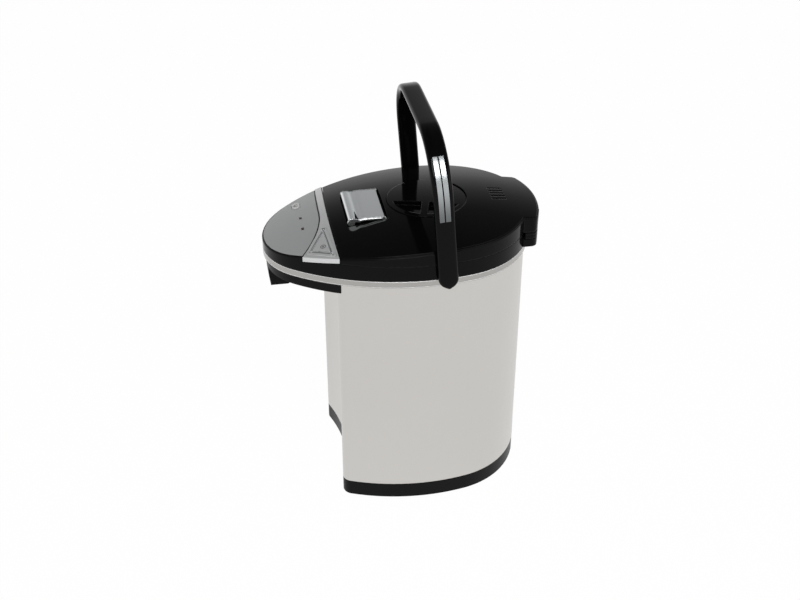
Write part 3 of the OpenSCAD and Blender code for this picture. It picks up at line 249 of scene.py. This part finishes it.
# One finish for each material slot of the record, and three that only scene pieces or one node wear
FINISHES = {
    "steel": finish("brushed_body_steel", (0.60, 0.585, 0.56), 0.36, metal=1.0, mottle=0.012,
                    mottle_scale=9.0, stretch=(1, 1, 0.02), grain_scale=1500.0, depth=0.000006,
                    grain_rough=0.12, dust=0.0),
    "trim": finish("satin_trim", (0.40, 0.39, 0.375), 0.24, metal=1.0, mottle=0.05, mottle_scale=60.0,
                   stretch=(0.3, 0.3, 6), grain_scale=900.0, depth=0.000004, edge=0.0022, edge_light=0.5),
    # The inlay's colour also carries a painted reflection, laid on further down
    "inlay": finish("inlay_silver_painted_reflection", (0.50, 0.53, 0.54), 0.26, metal=1.0, mottle=0.03,
                    stretch=(1, 1, 0.1), grain_scale=900.0, depth=0.000004, edge=0.0006),
    "black_gloss": finish("gloss_black", (0.0018, 0.0018, 0.0019), 0.07, level=0.09, mottle=0.05,
                          grain_scale=260.0, depth=0.000002, grain_rough=0.04, edge=0.0011, dust=0.004),
    "black_satin": finish("satin_black", (0.0028, 0.0028, 0.0029), 0.34, level=0.10, mottle=0.08,
                          grain_scale=1400.0, depth=0.00002, edge=0.0006, dust=0.01),
    "panel": finish("matte_panel", (0.43, 0.44, 0.442), 0.42, metal=0.35, mottle=0.02, grain_scale=1800.0,
                    depth=0.00001, edge=0.0003),
    "strip": finish("silver_strip", (0.64, 0.645, 0.65), 0.34, metal=0.5, mottle=0.02, grain_scale=1600.0,
                    depth=0.000006, edge=0.0005, edge_light=0.4),
    "bright": finish("satin_chrome", (0.72, 0.745, 0.755), 0.22, metal=1.0, mottle=0.02, stretch=(0.2, 1, 1),
                     grain_scale=1500.0, depth=0.000004, edge=0.0005),
    "polished": finish("polished_edge", (0.95, 0.955, 0.96), 0.18, metal=1.0, mottle=0.02, grain_scale=900.0),
    "key_white": finish("white_key", (0.62, 0.62, 0.61), 0.35, mottle=0.03),
    "rubber": finish("foot_rubber", (0.02, 0.02, 0.02), 0.8, depth=0.00003, grain_scale=1200.0),
    "seal": finish("silicone", (0.62, 0.62, 0.58), 0.55, mottle=0.05),
    "plain_steel": finish("plain_steel", (0.55, 0.55, 0.54), 0.3, metal=1.0, mottle=0.04,
                          stretch=(1, 1, 0.1)),
    "aluminium": finish("cast_aluminium", (0.52, 0.52, 0.53), 0.45, metal=1.0, mottle=0.1, depth=0.00003),
    "brass": finish("contact_brass", (0.55, 0.40, 0.16), 0.3, metal=1.0, mottle=0.05),
    "clear": finish("gauge_clear", (0.35, 0.38, 0.40), 0.12, mottle=0.02),
    "board": finish("board_green", (0.01, 0.08, 0.03), 0.4, mottle=0.2, mottle_scale=200.0),
    "white_plastic": finish("white_plastic", (0.6, 0.6, 0.57), 0.4, mottle=0.04),
    "grey_plastic": finish("grey_plastic", (0.06, 0.06, 0.062), 0.45, mottle=0.06),
    # The ink finish is also used for painted shade in the gap round the triangular key
    "ink": finish("printed_mark_and_gap_shade", (0.03, 0.03, 0.032), 0.5, mottle=0.05, edge=0.0001, dust=0.0),
    "lens": finish("indicator_lens", (0.05, 0.02, 0.015), 0.2, mottle=0.05),
}

# Heights on the handle's inlay for its painted reflection, and the painted tone at both ends
INLAY_FOOT = 387 * MM
INLAY_PAINTED_HIGHLIGHT = (436 * MM, 438 * MM)
INLAY_HEAD = 456 * MM
INLAY_FOOT_TONE = 0.30
INLAY_HEAD_TONE = 0.45


def paint_inlay_reflection():
    """The inlay's colour carries a painted reflection: brightest about three quarters of the way up and
    darker towards both ends.
    """
    tree = FINISHES["inlay"].node_tree
    shader = tree.nodes["Principled BSDF"]
    plain = shader.inputs["Base Color"].links[0].from_socket
    place = tree.nodes.new("ShaderNodeTexCoord")
    split = tree.nodes.new("ShaderNodeSeparateXYZ")
    tree.links.new(place.outputs["Object"], split.inputs[0])
    lower = ramp_node(tree, split.outputs["Z"], INLAY_FOOT, INLAY_PAINTED_HIGHLIGHT[1], INLAY_FOOT_TONE, 1.0)
    upper = ramp_node(tree, split.outputs["Z"], INLAY_PAINTED_HIGHLIGHT[0], INLAY_HEAD, 1.0, INLAY_HEAD_TONE)
    painted_reflection = tree.nodes.new("ShaderNodeVectorMath")
    painted_reflection.operation = "SCALE"
    tree.links.new(plain, painted_reflection.inputs[0])
    tree.links.new(math_node(tree, "MULTIPLY", lower, upper), painted_reflection.inputs["Scale"])
    tree.links.new(painted_reflection.outputs[0], shader.inputs["Base Color"])


def dress_cad_nodes():
    """Each CAD node takes the finish of its material slot, and the handle's inlay its own, which carries a
    painted reflection.
    """
    for part in frame["record"]["subparts"]:
        node = nodes[part["node"]]
        node.data.materials.clear()
        look = "inlay" if part["node"] == "handle_inlays" else part["material_slot"]
        node.data.materials.append(FINISHES[look])


# ---- pieces ----

def piece(name, verts, faces, slot, body):
    """A mesh object in the row frame that rides a body and wears the finish of its slot."""
    mesh = bpy.data.meshes.new(name)
    mesh.from_pydata([tuple(v) for v in verts], [], faces)
    mesh.validate()
    obj = bpy.data.objects.new(name, mesh)
    scene.collection.objects.link(obj)
    mesh.shade_smooth()
    mesh.materials.append(FINISHES[slot])
    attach(obj, body)
    return obj


def tube_faces(loops, count):
    """Quads between loops of equal length, with both ends closed."""
    faces = []
    for i in range(loops - 1):
        for k in range(count):
            a = i * count + k
            b = i * count + (k + 1) % count
            faces.append((a, b, b + count, a + count))
    faces.append(tuple(range(count))[::-1])
    faces.append(tuple((loops - 1) * count + k for k in range(count)))
    return faces


BEAD_SIDES = 8


def round_bead(name, points, heights, radius, slot, body, closed=True):
    """A bead with a round section along points of the plan, at a height for each point."""
    verts = []
    count = len(points)
    for k, p in enumerate(points):
        ahead = points[(k + 1) % count] if closed or k < count - 1 else p
        behind = points[k - 1] if closed or k > 0 else p
        along = (ahead - behind).normalized()
        side = Vector((-along.y, along.x))
        for j in range(BEAD_SIDES):
            a = 2 * math.pi * j / BEAD_SIDES
            q = p + side * radius * math.cos(a)
            verts.append((q.x, q.y, heights[k] + radius * math.sin(a)))
    faces = []
    for k in range(count if closed else count - 1):
        here = k * BEAD_SIDES
        there = (k + 1) % count * BEAD_SIDES
        for j in range(BEAD_SIDES):
            m = (j + 1) % BEAD_SIDES
            faces.append((here + j, here + m, there + m, there + j))
    if not closed:
        faces.append(tuple(range(BEAD_SIDES))[::-1])
        faces.append(tuple((count - 1) * BEAD_SIDES + j for j in range(BEAD_SIDES)))
    return piece(name, verts, faces, slot, body)


# ---- handle: a strap bent to a bail, with rounded edges ----

PIVOT = Vector((0, 12 * MM, 315 * MM))
LEAN = math.radians(4.5)
STRAP_W = 22 * MM
STRAP_T = 9 * MM
GRIP_UP = 152 * MM
BEND_MID = 68 * MM - STRAP_T / 2
# The strap is thinner than the CAD bail by twice this, and its legs lie this much further in
STRAP_INSIDE = 0.25 * MM
STRAP_EDGE_R = 3.8 * MM
# How far below the bend the leg's last section lies
LEG_DROP = 1 * MM
FOOT_STEPS = 9
LEG_STEPS = 12
BEND_STEPS = 24
SECTION_STEPS = 4


def rounded_section(width, thick, radius):
    """Corner points of a rounded oblong, as (across, out) pairs."""
    points = []
    for cx, cz, a0 in ((1, 1, 0), (-1, 1, 90), (-1, -1, 180), (1, -1, 270)):
        for k in range(SECTION_STEPS + 1):
            a = math.radians(a0 + 90 * k / SECTION_STEPS)
            points.append((cx * (width / 2 - radius) + radius * math.cos(a),
                           cz * (thick / 2 - radius) + radius * math.sin(a)))
    return points


def build_handle():
    """A strap with a round foot on each leg, drawn as sections along half its length and mirrored."""
    cad_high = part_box("handle_bail")[1]
    leg_x = cad_high.x - STRAP_T / 2 - STRAP_INSIDE
    thick = STRAP_T - 2 * STRAP_INSIDE
    bend_x = leg_x - BEND_MID
    bend_z = GRIP_UP - BEND_MID
    path = []
    end_r = STRAP_W / 2
    for k in range(1, FOOT_STEPS + 1):
        a = math.radians(90 * k / FOOT_STEPS)
        path.append((leg_x, -end_r * math.cos(a), 1, 0, end_r * math.sin(a)))
    for k in range(1, LEG_STEPS + 1):
        path.append((leg_x, bend_z * k / LEG_STEPS - LEG_DROP, 1, 0, end_r))
    for k in range(1, BEND_STEPS + 1):
        a = math.radians(90 * k / BEND_STEPS)
        path.append((bend_x + BEND_MID * math.cos(a), bend_z + BEND_MID * math.sin(a),
                     math.cos(a), math.sin(a), end_r))
    half = path + [(bend_x * share, GRIP_UP, 0, 1, end_r) for share in (0.75, 0.5, 0.25, 0.0)]
    whole = half + [(-x, z, -nx, nz, r) for x, z, nx, nz, r in reversed(half[:-1])]
    verts = []
    for x, z, nx, nz, r in whole:
        radius = min(STRAP_EDGE_R, r * 0.9)
        for across, out in rounded_section(2 * r, thick, radius):
            px = x + nx * out
            pz = z + nz * out
            verts.append((px, PIVOT.y + across * math.cos(LEAN) - pz * math.sin(LEAN),
                          PIVOT.z + pz * math.cos(LEAN) + across * math.sin(LEAN)))
    section_points = 4 * (SECTION_STEPS + 1)
    bail = piece("handle_strap", verts, tube_faces(len(whole), section_points), "black_gloss", "handle")
    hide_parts("handle_bail")


# ---- crown: the doubly curved surface that the lid, the panel and the keys share ----

CROWN_Z = 358 * MM
CROWN_Y = 25 * MM
CROWN_RX = 430 * MM
CROWN_RY = 600 * MM


def crown_height(x, y):
    """Height of the crown over a point of the plan."""
    across = CROWN_RY - CROWN_RX + math.sqrt(CROWN_RX ** 2 - x * x)
    return CROWN_Z - CROWN_RY + math.sqrt(across ** 2 - (y - CROWN_Y) ** 2)


# ---- lines and signs of the keys ----

KEY_CORNERS = [Vector((23, -111.5)) * MM, Vector((62.8, -135.2)) * MM, Vector((79.3, -106.2)) * MM]
KEY_ROUND = 3 * MM
KEY_LEAST_ROUND = 0.6 * MM
KEY_SIGN_AT = (59 * MM, -116.5 * MM)
KEY_BARS_AT = [(66.0 * MM, -122.0 * MM), (66.5 * MM, -110.5 * MM)]
ROUND_KEY_AT = (-47 * MM, -136 * MM)
ROUND_SIGN_R = 2.2 * MM
ROUND_RIM_R = 4.1 * MM
ROUND_RIM_HALF = 3.5 * MM
SIGN_RING_R = 2.7 * MM
SIGN_DROP_R = 0.7 * MM
SIGN_BAR_R = 1.6 * MM
SIGN_LINE_R = 0.42 * MM
SIGN_LIFT = 0.8 * MM


def key_outline(out, steps=8):
    """Points of the triangular key's rounded outline, moved out by a distance."""
    middle = sum(KEY_CORNERS, Vector((0, 0))) / 3
    centres = [p + (middle - p).normalized() * KEY_ROUND for p in KEY_CORNERS]
    radius = KEY_ROUND + out
    if radius < KEY_LEAST_ROUND:
        radius = KEY_LEAST_ROUND
        shrink = KEY_LEAST_ROUND - KEY_ROUND - out
        moved = []
        for k in range(3):
            before = (centres[k - 1] - centres[k]).normalized()
            after = (centres[(k + 1) % 3] - centres[k]).normalized()
            sine = abs(before.x * after.y - before.y * after.x)
            moved.append(centres[k] + (before + after) * shrink / sine)
        centres = moved
    points = []
    for k in range(3):
        before = centres[k] - centres[k - 1]
        after = centres[(k + 1) % 3] - centres[k]
        start = math.atan2(-before.x, before.y) + math.pi
        end = math.atan2(-after.x, after.y) + math.pi
        while end < start:
            end += 2 * math.pi
        for j in range(steps + 1):
            a = start + (end - start) * j / steps
            points.append(centres[k] + Vector((math.cos(a), math.sin(a))) * radius)
    return points


def close_points(points, closed, gap=2 * MM):
    """The same line with points no further apart than a gap."""
    finer = []
    for k, p in enumerate(points):
        finer.append(p)
        if closed or k < len(points) - 1:
            q = points[(k + 1) % len(points)]
            parts = int((q - p).length / gap)
            finer += [p + (q - p) * j / (parts + 1) for j in range(1, parts + 1)]
    return finer


def bead(name, points, radius, lift, slot, body, closed=True):
    """A round bead that follows points of the plan over the crown."""
    points = close_points(points, closed)
    heights = [crown_height(p.x, p.y) + lift for p in points]
    return round_bead(name, points, heights, radius, slot, body, closed)


def circle_points(centre, radius, start=0, end=360, steps=28):
    """Points on an arc of the plan; a whole circle doesn't repeat its first point."""
    parts = steps if end - start == 360 else steps - 1
    points = []
    for k in range(steps):
        a = math.radians(start + (end - start) * k / parts)
        points.append(Vector((centre[0] + radius * math.cos(a), centre[1] + radius * math.sin(a))))
    return points


def stadium_points(centre, radius, half, steps=12):
    """Points round a circle drawn out along X."""
    points = []
    for side, start in ((1, -90), (-1, 90)):
        for k in range(steps + 1):
            a = math.radians(start + 180 * k / steps)
            x = centre[0] + side * half + radius * math.cos(a)
            points.append(Vector((x, centre[1] + radius * math.sin(a))))
    return points


def build_key_details():
    """A dark line as painted shade in the gap round the triangular key, two ridges and a line on its top, and
    small signs on both keys.
    """
    # A dark bead in the gap round the key: painted shade of the gap
    bead("key_gap_painted_shade", key_outline(0.95 * MM), radius=0.45 * MM, lift=0.25 * MM, slot="ink", body="pot")
    ridge = key_outline(-0.8 * MM)
    bead("key_ridge", ridge, radius=0.55 * MM, lift=0.95 * MM, slot="bright", body="boil_key")
    line = key_outline(-2.1 * MM)
    bead("key_line", line, radius=0.5 * MM, lift=0.72 * MM, slot="ink", body="boil_key")
    ring = circle_points(KEY_SIGN_AT, SIGN_RING_R)
    bead("key_sign_ring", ring, SIGN_LINE_R, SIGN_LIFT, slot="ink", body="boil_key")
    drop = circle_points(KEY_SIGN_AT, SIGN_DROP_R)
    bead("key_sign_drop", drop, SIGN_LINE_R, SIGN_LIFT, slot="ink", body="boil_key")
    for k, centre in enumerate(KEY_BARS_AT):
        bar = circle_points(centre, SIGN_BAR_R, start=30, end=210, steps=10)
        bead("key_sign_bar_%d" % k, bar, SIGN_LINE_R, SIGN_LIFT, slot="ink", body="boil_key", closed=False)
    inner = key_outline(-3.1 * MM)
    bead("key_inner_ridge", inner, radius=0.4 * MM, lift=0.85 * MM, slot="bright", body="boil_key")
    stroke = circle_points(ROUND_KEY_AT, ROUND_SIGN_R, start=130, end=410, steps=20)
    bead("round_key_sign", stroke, radius=0.34 * MM, lift=0.6 * MM, slot="ink", body="round_key",
         closed=False)
    rim = stadium_points(ROUND_KEY_AT, ROUND_RIM_R, ROUND_RIM_HALF)
    bead("round_key_rim", rim, radius=0.3 * MM, lift=0.55 * MM, slot="key_white", body="round_key")


# ---- latch: a pressed plate with a rolled front lip and a shallow valley behind it ----

LATCH_FRONT = -85 * MM
LATCH_REAR = -45 * MM
LATCH_TOP = 354.5 * MM
LATCH_HALF = 35 * MM
LATCH_CURL = 4 * MM
LATCH_THICK = 2.2 * MM
LATCH_AXIS_Z = 349.5 * MM
LATCH_BARREL = 3 * MM
# The valley behind the lip: how deep, how far behind the latch's front, and how wide
VALLEY_DEEP = 1.3 * MM
VALLEY_BACK = 11.5 * MM
VALLEY_WIDE = 3.6 * MM
# Where the flat underside meets the lip, behind the lip's centre
LIP_UNDER = 3.5 * MM
# Rounding of the latch's far edge, its near edge, and the most that its underside shrinks
FAR_EDGE = 0.6 * MM
NEAR_EDGE = 1.5 * MM
UNDER_EDGE = 0.3 * MM
# Corners of the wedge-shaped gap in the valley, widest beside the near edge
LATCH_GAP = [(14 * MM, -76 * MM), (33.2 * MM, -77.4 * MM), (33.2 * MM, -73.4 * MM)]
GAP_DOWN = 12 * MM
GAP_UP = 6 * MM
TOP_STEPS = 24
BARREL_STEPS = 12
UNDER_STEPS = 16
LIP_STEPS = 14
FAR_STEPS = 4
ACROSS_STEPS = 28
NEAR_STEPS = 6
# Degrees: where the turn round the barrel and round the lip start, and how far they go
BARREL_FROM = 70
BARREL_TURN = 250
LIP_FROM = 300
LIP_TURN = 206


def latch_top(y):
    """Height of the latch's upper face: flat, with a valley behind the lip."""
    return LATCH_TOP - VALLEY_DEEP * math.exp(-((y - LATCH_FRONT - VALLEY_BACK) / VALLEY_WIDE) ** 2)


def latch_profile():
    """The latch's side view as a closed loop of (y, z)."""
    loop = []
    lip_y = LATCH_FRONT + LATCH_CURL
    lip_z = LATCH_TOP - LATCH_CURL
    for k in range(TOP_STEPS + 1):
        y = lip_y + (LATCH_REAR - lip_y) * k / TOP_STEPS
        loop.append((y, latch_top(y)))
    for k in range(1, BARREL_STEPS + 1):
        a = math.radians(BARREL_FROM - BARREL_TURN * k / BARREL_STEPS)
        loop.append((LATCH_REAR + LATCH_BARREL * math.cos(a), LATCH_AXIS_Z + LATCH_BARREL * math.sin(a)))
    under = LATCH_REAR - LATCH_BARREL
    for k in range(UNDER_STEPS + 1):
        y = under + (lip_y + LIP_UNDER - LATCH_REAR + LATCH_BARREL) * k / UNDER_STEPS
        loop.append((y, latch_top(y) - LATCH_THICK))
    for k in range(LIP_STEPS + 1):
        a = math.radians(LIP_FROM - LIP_TURN * k / LIP_STEPS)
        loop.append((lip_y + LATCH_CURL * math.cos(a), lip_z + LATCH_CURL * math.sin(a)))
    return loop


def loop_normals(loop):
    """For each point of a closed loop, the unit direction that its inset moves it in."""
    normals = []
    for k in range(len(loop)):
        dy = loop[(k + 1) % len(loop)][0] - loop[k - 1][0]
        dz = loop[(k + 1) % len(loop)][1] - loop[k - 1][1]
        length = math.hypot(dy, dz) or 1.0
        normals.append((-dz / length, dy / length))
    return normals


def latch_stations():
    """Places across the latch with how far its side view shrinks there, to round both edges."""
    stations = []
    for k in range(FAR_STEPS + 1):
        a = math.radians(90 * k / FAR_STEPS)
        stations.append((-LATCH_HALF + FAR_EDGE * (1 - math.cos(a)), FAR_EDGE * (1 - math.sin(a))))
    span = 2 * LATCH_HALF - FAR_EDGE - NEAR_EDGE
    stations += [(-LATCH_HALF + FAR_EDGE + span * k / ACROSS_STEPS, 0.0) for k in range(1, ACROSS_STEPS)]
    for k in range(NEAR_STEPS + 1):
        a = math.radians(90 * k / NEAR_STEPS)
        stations.append((LATCH_HALF - NEAR_EDGE * (1 - math.sin(a)), NEAR_EDGE * (1 - math.cos(a))))
    return stations


def cut_gap(plate):
    """Cuts the narrow gap through the plate."""
    mesh = bpy.data.meshes.new("latch_gap")
    levels = (LATCH_TOP - GAP_DOWN, LATCH_TOP + GAP_UP)
    corners = [(x, y, z) for z in levels for x, y in LATCH_GAP]
    mesh.from_pydata(corners, [], [(2, 1, 0), (3, 4, 5), (0, 1, 4, 3), (1, 2, 5, 4), (2, 0, 3, 5)])
    cutter = bpy.data.objects.new("latch_gap", mesh)
    scene.collection.objects.link(cutter)
    cut = plate.modifiers.new("gap", "BOOLEAN")
    cut.operation = "DIFFERENCE"
    cut.object = cutter
    cut.solver = "EXACT"
    solid = bpy.data.meshes.new_from_object(plate.evaluated_get(bpy.context.evaluated_depsgraph_get()))
    plate.modifiers.clear()
    plate.data = solid
    solid.shade_smooth()
    solid.set_sharp_from_angle(angle=math.radians(50))
    bpy.data.objects.remove(cutter)


def build_latch():
    """The plate, drawn as side views across the pot, with the narrow gap cut through it."""
    loop = latch_profile()
    count = len(loop)
    normals = loop_normals(loop)
    stations = latch_stations()
    verts = []
    for x, inset in stations:
        for k, ((y, z), (ny, nz)) in enumerate(zip(loop, normals)):
            outside = k <= TOP_STEPS or k > count - LIP_STEPS - 1
            depth = inset if outside else min(inset, UNDER_EDGE)
            verts.append((x, y + ny * depth, z + nz * depth))
    latch = piece("latch_plate", verts, tube_faces(len(stations), count), "bright", "latch")
    cut_gap(latch)
    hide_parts("latch_lever")


# ---- bright lines of the trim ring and the latch ----

HALF_W = 105 * MM
SIDE_R = 240 * MM
WIDEST_Y = -6 * MM
FRONT_REACH = 179 * MM
REAR_REACH = 124 * MM
RING_FOOT = 303 * MM
RING_H = 8 * MM
RING_LINE_R = 0.45 * MM
RING_LINE_INSET = 0.4 * MM
RING_TOP_LINE_Z = RING_FOOT + RING_H - 0.5 * MM
RING_FOOT_LINE_Z = RING_FOOT + 0.7 * MM
EDGE_FRONT = -78 * MM
EDGE_LENGTH = 31 * MM
EDGE_STEPS = 20
EDGE_R = 0.85 * MM
EDGE_INSET = 0.5 * MM
EDGE_SINK = 0.75 * MM
# How far the bead starts inside the edge, and in how many steps that fades to a third
EDGE_CURL = 1.6 * MM
EDGE_CURL_STEPS = 1.6


def pot_outline(inset, steps=40):
    """The pot's plan, moved in by a distance: a nose arc, two side arcs and a rear arc, all tangent."""
    side_x = SIDE_R - HALF_W
    half = []
    for reach, sign in ((FRONT_REACH + WIDEST_Y, -1), (REAR_REACH - WIDEST_Y, 1)):
        r = (SIDE_R ** 2 - side_x ** 2 - reach ** 2) / (2 * (SIDE_R - reach))
        centre_y = WIDEST_Y + sign * (reach - r)
        join = math.atan2(centre_y - WIDEST_Y, side_x)
        arc = []
        for k in range(steps + 1):
            a = sign * math.pi / 2 + (join - sign * math.pi / 2) * k / steps
            arc.append(Vector(((r - inset) * math.cos(a), centre_y + (r - inset) * math.sin(a))))
        for k in range(1, steps):
            a = join * (1 - k / steps)
            side = SIDE_R - inset
            arc.append(Vector((side * math.cos(a) - side_x, WIDEST_Y + side * math.sin(a))))
        half.append(arc)
    right = half[0] + [Vector((HALF_W - inset, WIDEST_Y))] + half[1][::-1]
    return right + [Vector((-p.x, p.y)) for p in right[-2:0:-1]]


def build_ring_lines():
    """A bright bead near the top of the trim ring and one near its foot."""
    outline = pot_outline(RING_LINE_INSET)
    for name, z in (("ring_top_line", RING_TOP_LINE_Z), ("ring_foot_line", RING_FOOT_LINE_Z)):
        round_bead(name, outline, [z] * len(outline), RING_LINE_R, "polished", "pot")


def build_latch_edge():
    """A bright bead along the latch's near edge, which curls in behind the lip."""
    points = []
    heights = []
    for k in range(EDGE_STEPS + 1):
        y = EDGE_FRONT + EDGE_LENGTH * k / EDGE_STEPS
        x = LATCH_HALF - EDGE_INSET - EDGE_CURL * math.exp(-k / EDGE_CURL_STEPS)
        points.append(Vector((x, y)))
        heights.append(latch_top(y) - EDGE_SINK)
    round_bead("latch_edge", points, heights, EDGE_R, "polished", "latch", closed=False)


# ---- stage, light and camera ----

CAMERA_AZ = math.radians(80.169)
CAMERA_EL = math.radians(32.546)
CAMERA_DISTANCE = 1.4259
CAMERA_TARGET = Vector((0, -0.02174, 0.22185))
CAMERA_LENS = 54.04
SENSOR = 36.0
FLOOR_HALF = 30.0
# How much of the floor's tone is plain white; the rest takes light and holds the shadow
FLOOR_WHITE = 0.985
FLOOR_TONE = (0.9, 0.9, 0.9, 1)
FLOOR_ROUGH = 0.9


def build_camera():
    """The photograph's camera, fitted to the trim ring, the collar, the lid and the handle."""
    data = bpy.data.cameras.new("camera")
    data.sensor_width = SENSOR
    data.lens = CAMERA_LENS
    camera = bpy.data.objects.new("camera", data)
    scene.collection.objects.link(camera)
    back = Vector((math.sin(CAMERA_AZ) * math.cos(CAMERA_EL), -math.cos(CAMERA_AZ) * math.cos(CAMERA_EL),
                   math.sin(CAMERA_EL)))
    camera.location = CAMERA_TARGET + CAMERA_DISTANCE * back
    camera.rotation_euler = back.to_track_quat("Z", "Y").to_euler()
    scene.camera = camera


def seen_ray(tree):
    """One where a ray from the camera, a reflection or glass sees a surface."""
    path = tree.nodes.new("ShaderNodeLightPath")
    glossy = math_node(tree, "MAXIMUM", path.outputs["Is Glossy Ray"], path.outputs["Is Transmission Ray"])
    return math_node(tree, "MAXIMUM", path.outputs["Is Camera Ray"], glossy)


def build_floor():
    """A white table that camera, reflections and glass all see as white."""
    corners = [(x * FLOOR_HALF, y * FLOOR_HALF, 0) for x, y in ((-1, -1), (1, -1), (1, 1), (-1, 1))]
    mesh = bpy.data.meshes.new("floor")
    mesh.from_pydata(corners, [], [(0, 1, 2, 3)])
    floor = bpy.data.objects.new("floor", mesh)
    scene.collection.objects.link(floor)
    material = bpy.data.materials.new("white_table")
    material.use_nodes = True
    tree = material.node_tree
    shader = tree.nodes["Principled BSDF"]
    shader.inputs["Base Color"].default_value = FLOOR_TONE
    shader.inputs["Roughness"].default_value = FLOOR_ROUGH
    glow = tree.nodes.new("ShaderNodeEmission")
    glow.inputs["Strength"].default_value = 1.0
    mix = tree.nodes.new("ShaderNodeMixShader")
    tree.links.new(math_node(tree, "MULTIPLY", seen_ray(tree), FLOOR_WHITE), mix.inputs["Fac"])
    tree.links.new(shader.outputs[0], mix.inputs[1])
    tree.links.new(glow.outputs[0], mix.inputs[2])
    tree.links.new(mix.outputs[0], tree.nodes["Material Output"].inputs["Surface"])
    mesh.materials.append(material)


# The sky's brightness from the horizon (0) to the zenith (1)
SKY_STEPS = ((0.0, 1.0), (0.18, 0.95), (0.40, 0.50), (0.58, 0.24), (1.0, 0.10))


def build_world():
    """A plain sky, white at the horizon and darker above, so that the glossy lid stays dark."""
    world = bpy.data.worlds.new("studio")
    world.use_nodes = True
    scene.world = world
    tree = world.node_tree
    place = tree.nodes.new("ShaderNodeTexCoord")
    split = tree.nodes.new("ShaderNodeSeparateXYZ")
    tree.links.new(place.outputs["Generated"], split.inputs[0])
    ramp = tree.nodes.new("ShaderNodeValToRGB")
    ramp.color_ramp.elements[0].position = SKY_STEPS[0][0]
    ramp.color_ramp.elements[0].color = (*[SKY_STEPS[0][1]] * 3, 1)
    ramp.color_ramp.elements[1].position = SKY_STEPS[-1][0]
    ramp.color_ramp.elements[1].color = (*[SKY_STEPS[-1][1]] * 3, 1)
    for position, level in SKY_STEPS[1:-1]:
        step = ramp.color_ramp.elements.new(position)
        step.color = (level, level, level, 1)
    tree.links.new(split.outputs["Z"], ramp.inputs["Fac"])
    background = tree.nodes["Background"]
    tree.links.new(ramp.outputs["Color"], background.inputs["Color"])
    background.inputs["Strength"].default_value = 1.0


def area_light(name, location, size, energy, target=(0, 0, 0.25)):
    """A round soft lamp that faces the pot."""
    data = bpy.data.lights.new(name, "AREA")
    data.shape = "DISK"
    data.size = size
    data.energy = energy
    lamp = bpy.data.objects.new(name, data)
    scene.collection.objects.link(lamp)
    lamp.location = location
    lamp.rotation_euler = (Vector(location) - Vector(target)).to_track_quat("Z", "Y").to_euler()


paint_inlay_reflection()
dress_cad_nodes()
build_handle()
build_latch()
build_key_details()
build_ring_lines()
build_latch_edge()
build_floor()
build_world()
area_light("key", location=(1.5, -0.2, 1.9), size=1.2, energy=24.0)
area_light("fill", location=(1.6, 1.6, 1.2), size=1.6, energy=8.0)
build_camera()
scene.view_settings.view_transform = "Standard"
